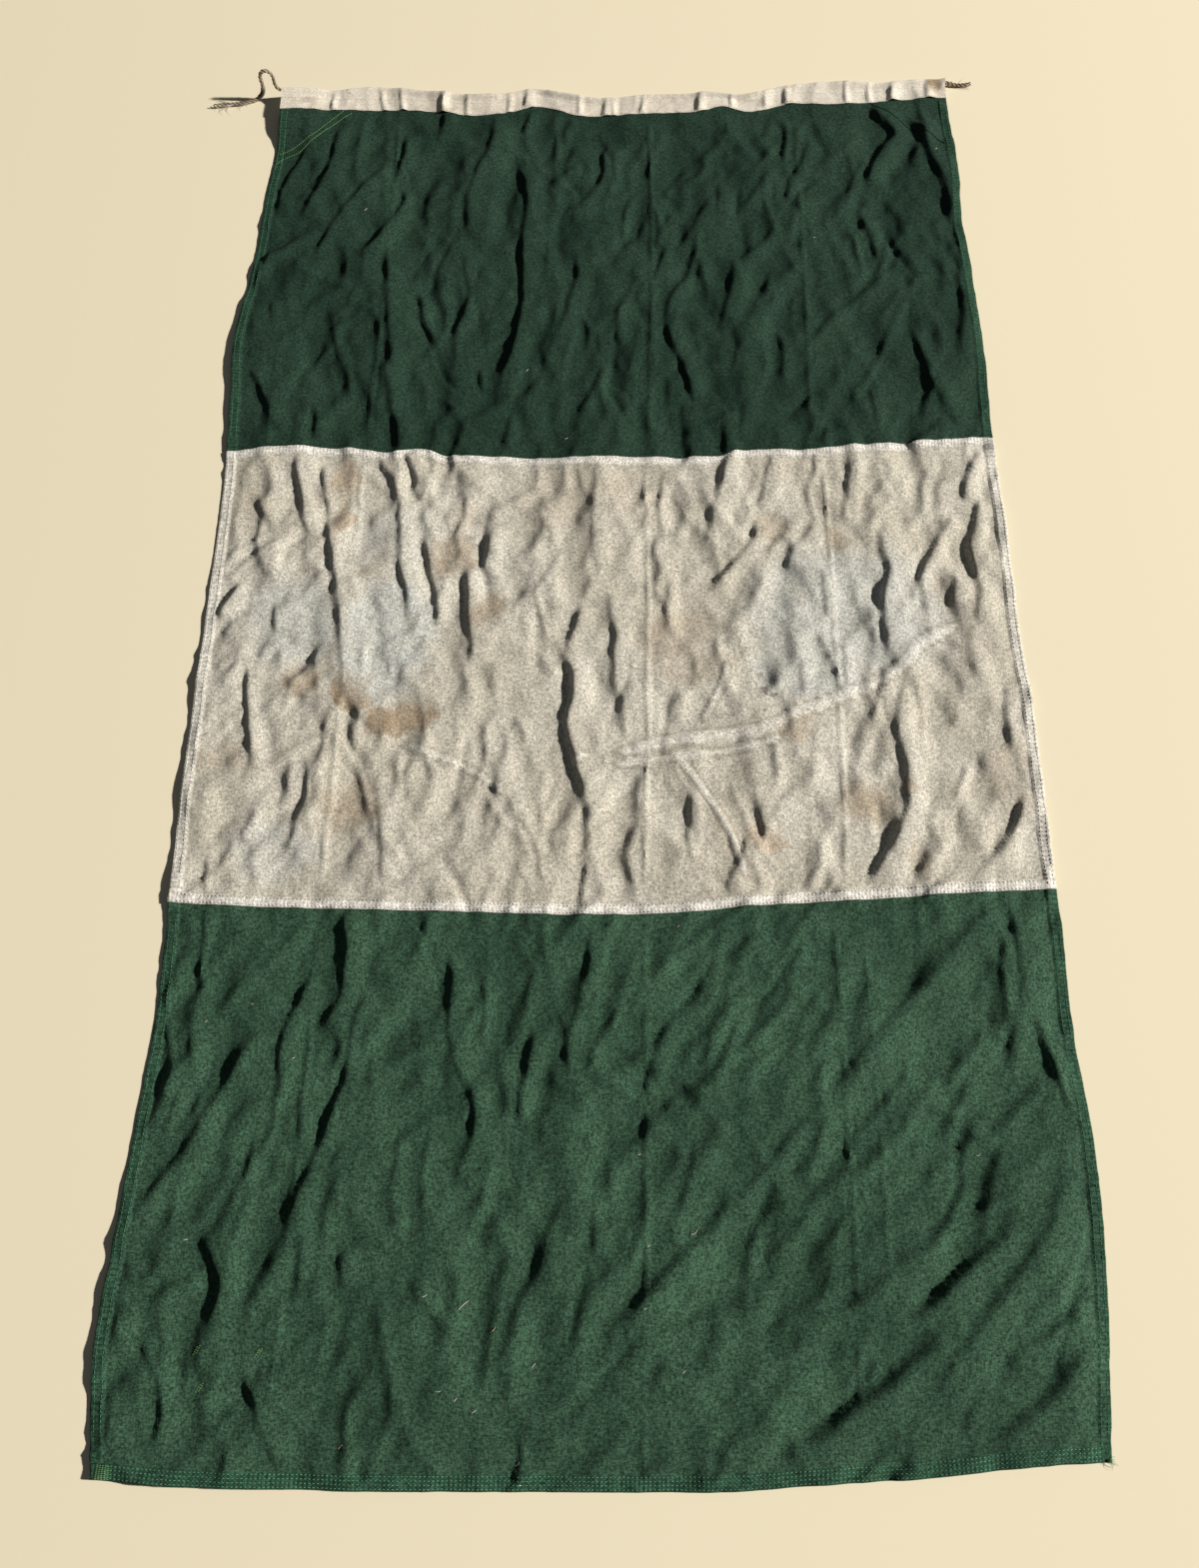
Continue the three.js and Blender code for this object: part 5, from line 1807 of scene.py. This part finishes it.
class Flag:
    """The whole flag: three panels, the heading, two corner patches, the sewing and the rope."""

    def __init__(self) -> None:
        """Sets out the panels."""
        tuck = EdgeLine(HEADING_BOTTOM.stations, HEADING_TUCK)
        self.hoist = ClothPanel("green_panel_hoist", Band.HOIST, tuck, UPPER_SEAM.shifted(-SEAM_LAP),
                                DEEP_GREEN, "green_cloth", (0.954, 0.60))
        self.centre = ClothPanel("white_panel_centre", Band.CENTRE, UPPER_SEAM, LOWER_SEAM,
                                 WHITE, "white_cloth", (0.956, 0.59))
        self.fly = ClothPanel("green_panel_fly", Band.FLY, LOWER_SEAM.shifted(SEAM_LAP), FLY_EDGE,
                              GREEN, "green_cloth", (0.956, 0.56))
        self.heading = Heading()
        outer_left = ((-444, 694), (-442, 702), (-419, 717), (-396, 744), (-377, 765), (-357, 784))
        outer_right = ((444, 738), (428, 750), (404, 768), (384, 784), (366, 800), (352, 813))
        self.left_patch = CornerPatch("corner_cloth_left", (-443, 779), outer_left, self.hoist)
        self.right_patch = CornerPatch("corner_cloth_right", (444, 823), outer_right, self.hoist)
        self.pieces: dict[str, Piece] = {}

    def keep(self, *pieces: Piece) -> None:
        """Notes pieces and reports them."""
        for piece in pieces:
            self.pieces[piece.name] = piece
            mesh = piece.data
            log.info("%s: %d vertices, %d faces", piece.name, len(mesh.vertices), len(mesh.polygons))

    def sew(self) -> None:
        """Makes the stitches, thread by thread."""
        hoist, centre, fly, heading = self.hoist, self.centre, self.fly, self.heading
        hems = [StitchRow(side_line(edge, way * inset * MM, low, high), hoist, radius=0.26 * MM)
                for edge, way, low, high in ((LEFT_EDGE, 1, 0.25, 0.775), (RIGHT_EDGE, -1, 0.272, 0.815))
                for inset in (3.5, 10)]
        self.keep(Sewing("hoist_hem_stitches", GREEN_THREAD, "green_cloth", hems).build())
        lines = (((-454, 690), (-442, 702), (-419, 717), (-396, 744), (-377, 765), (-357, 783)),
                 ((-452, 706), (-436, 716), (-423, 725), (-404, 744), (-388, 765), (-369, 785)))
        corners = [StitchRow(smooth_path([(*p, 0) for p in np.array(line) * MM], 2 * MM)[:, :2], hoist,
                             pitch=3.2 * MM, share=0.8, radius=0.34 * MM, lift=lift)
                   for line, lift in zip(lines, (0.4 * MM, 0.85 * MM))]
        self.keep(Sewing("corner_stitches", LEAF_THREAD, "green_cloth", corners).build())
        white = side_rows((2.6, 9.6), -0.302, 0.222, surface=centre, radius=0.36 * MM, pitch=4.4 * MM)
        white += cross_rows(UPPER_SEAM, (-2.2, -8.8), surface=centre, radius=0.38 * MM, slant=0.8 * MM)
        white += cross_rows(LOWER_SEAM, (1.8, 9.4), surface=centre, radius=0.38 * MM, slant=-1.4 * MM)
        self.keep(Sewing("centre_stitches", WHITE_THREAD, "white_cloth", white).build())
        rows = cross_rows(FLY_EDGE, (2.2, 5.5, 8.8, 12.1), -0.44, 0.446, surface=fly, pitch=3.9 * MM,
                          radius=0.34 * MM)
        rows += side_rows((3.5, 10), -0.82, -0.345, surface=fly, radius=0.26 * MM)
        self.keep(Sewing("fly_stitches", GREEN_THREAD, "green_cloth", rows).build())
        tack = cross_rows(FLY_EDGE, np.arange(1.2, 13.2, 1.5), -0.448, -0.433, surface=fly, pitch=2.6 * MM,
                          share=0.85, radius=0.30 * MM)
        self.keep(Sewing("corner_tack", LEAF_THREAD, "green_cloth", tack).build())
        head = cross_rows(HEADING_BOTTOM, (1.6, 20.0), -0.452, 0.452, surface=heading, radius=0.3 * MM)
        end_tack = np.array([(-0.438, 0.806), (-0.454, 0.786)])
        head.append(StitchRow(end_tack, heading, pitch=2.6 * MM, share=0.9, radius=0.4 * MM))
        self.keep(Sewing("heading_stitches", WHITE_THREAD, "heading_canvas", head).build())

    def scatter(self) -> None:
        """Lays the lint, the loose ends and the frayed corners on the cloth."""
        rng = np.random.default_rng(21)
        parts = []
        for x, y, size in LINT_SPOTS:
            bearing = rng.uniform(0.1, 0.9)
            t = np.linspace(-0.5, 0.5, 8)
            plan = np.array((x, y)) * MM + np.outer(t * size * MM, (math.cos(bearing), math.sin(bearing)))
            plan[:, 1] += 0.22 * size * MM * np.cos(math.pi * t) * rng.uniform(-1, 1)
            panel = self.hoist if y > 230 else self.fly
            z = panel.top(plan[:, 0], plan[:, 1]) + 0.3 * MM
            parts.append(tube(np.column_stack([plan, z]), np.full(8, 0.36 * MM) * (1 - 1.4 * t**2), 5))
        self.keep(fine_piece("lint", join(parts), LINT))
        darns = []
        for x, y in ((-371, -750), (-315, -752), (-365, -781)):
            for k in range(4):
                line = np.array([(x - 4 + k, y - 3 + 2 * k), (x + 5 + k, y + 1 + 2 * k)], float) * MM
                darns.append(StitchRow(line, self.fly, pitch=3 * MM, share=0.8, radius=0.28 * MM))
        self.keep(Sewing("darns", LEAF_THREAD, "green_cloth", darns).build())
        right = Frays("fly_corner_fray", (0.4515, -0.8275, 0.004), -35.0, 16, (0.003, 0.009), 60.0, 9,
                      0.16 * MM, GREEN_THREAD, "green_cloth")
        self.keep(right.build())

    def declare(self) -> None:
        """Hides the CAD parts that the cloth pieces stand for."""
        stands_for = {"green_panel_hoist": "hoist_panel", "white_panel_centre": "centre_panel",
                      "green_panel_fly": "fly_panel", "heading_strip": "heading",
                      "corner_cloth_left": "corner_patch_left", "corner_cloth_right": "corner_patch_right"}
        for name, node in stands_for.items():
            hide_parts(node)

    def build(self) -> None:
        """Builds every piece, the cords first."""
        rope = RopeWork()
        self.keep(*rope.build_free_ends().values())
        for part in (self.hoist, self.centre, self.fly, self.heading, self.left_patch, self.right_patch):
            self.keep(part.build())
        self.keep(rope.build_hidden(self.heading))
        self.sew()
        self.scatter()
        self.declare()


def write_sizes() -> None:
    """Updates the view layer."""
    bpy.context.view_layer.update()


def main() -> None:
    """Sets the stage and builds the flag."""
    logging.basicConfig(level=logging.INFO, format="%(name)s: %(message)s")
    studio = Studio()
    studio.camera()
    studio.floor()
    studio.lights()
    Flag().build()
    write_sizes()


if __name__ == "__main__":
    main()
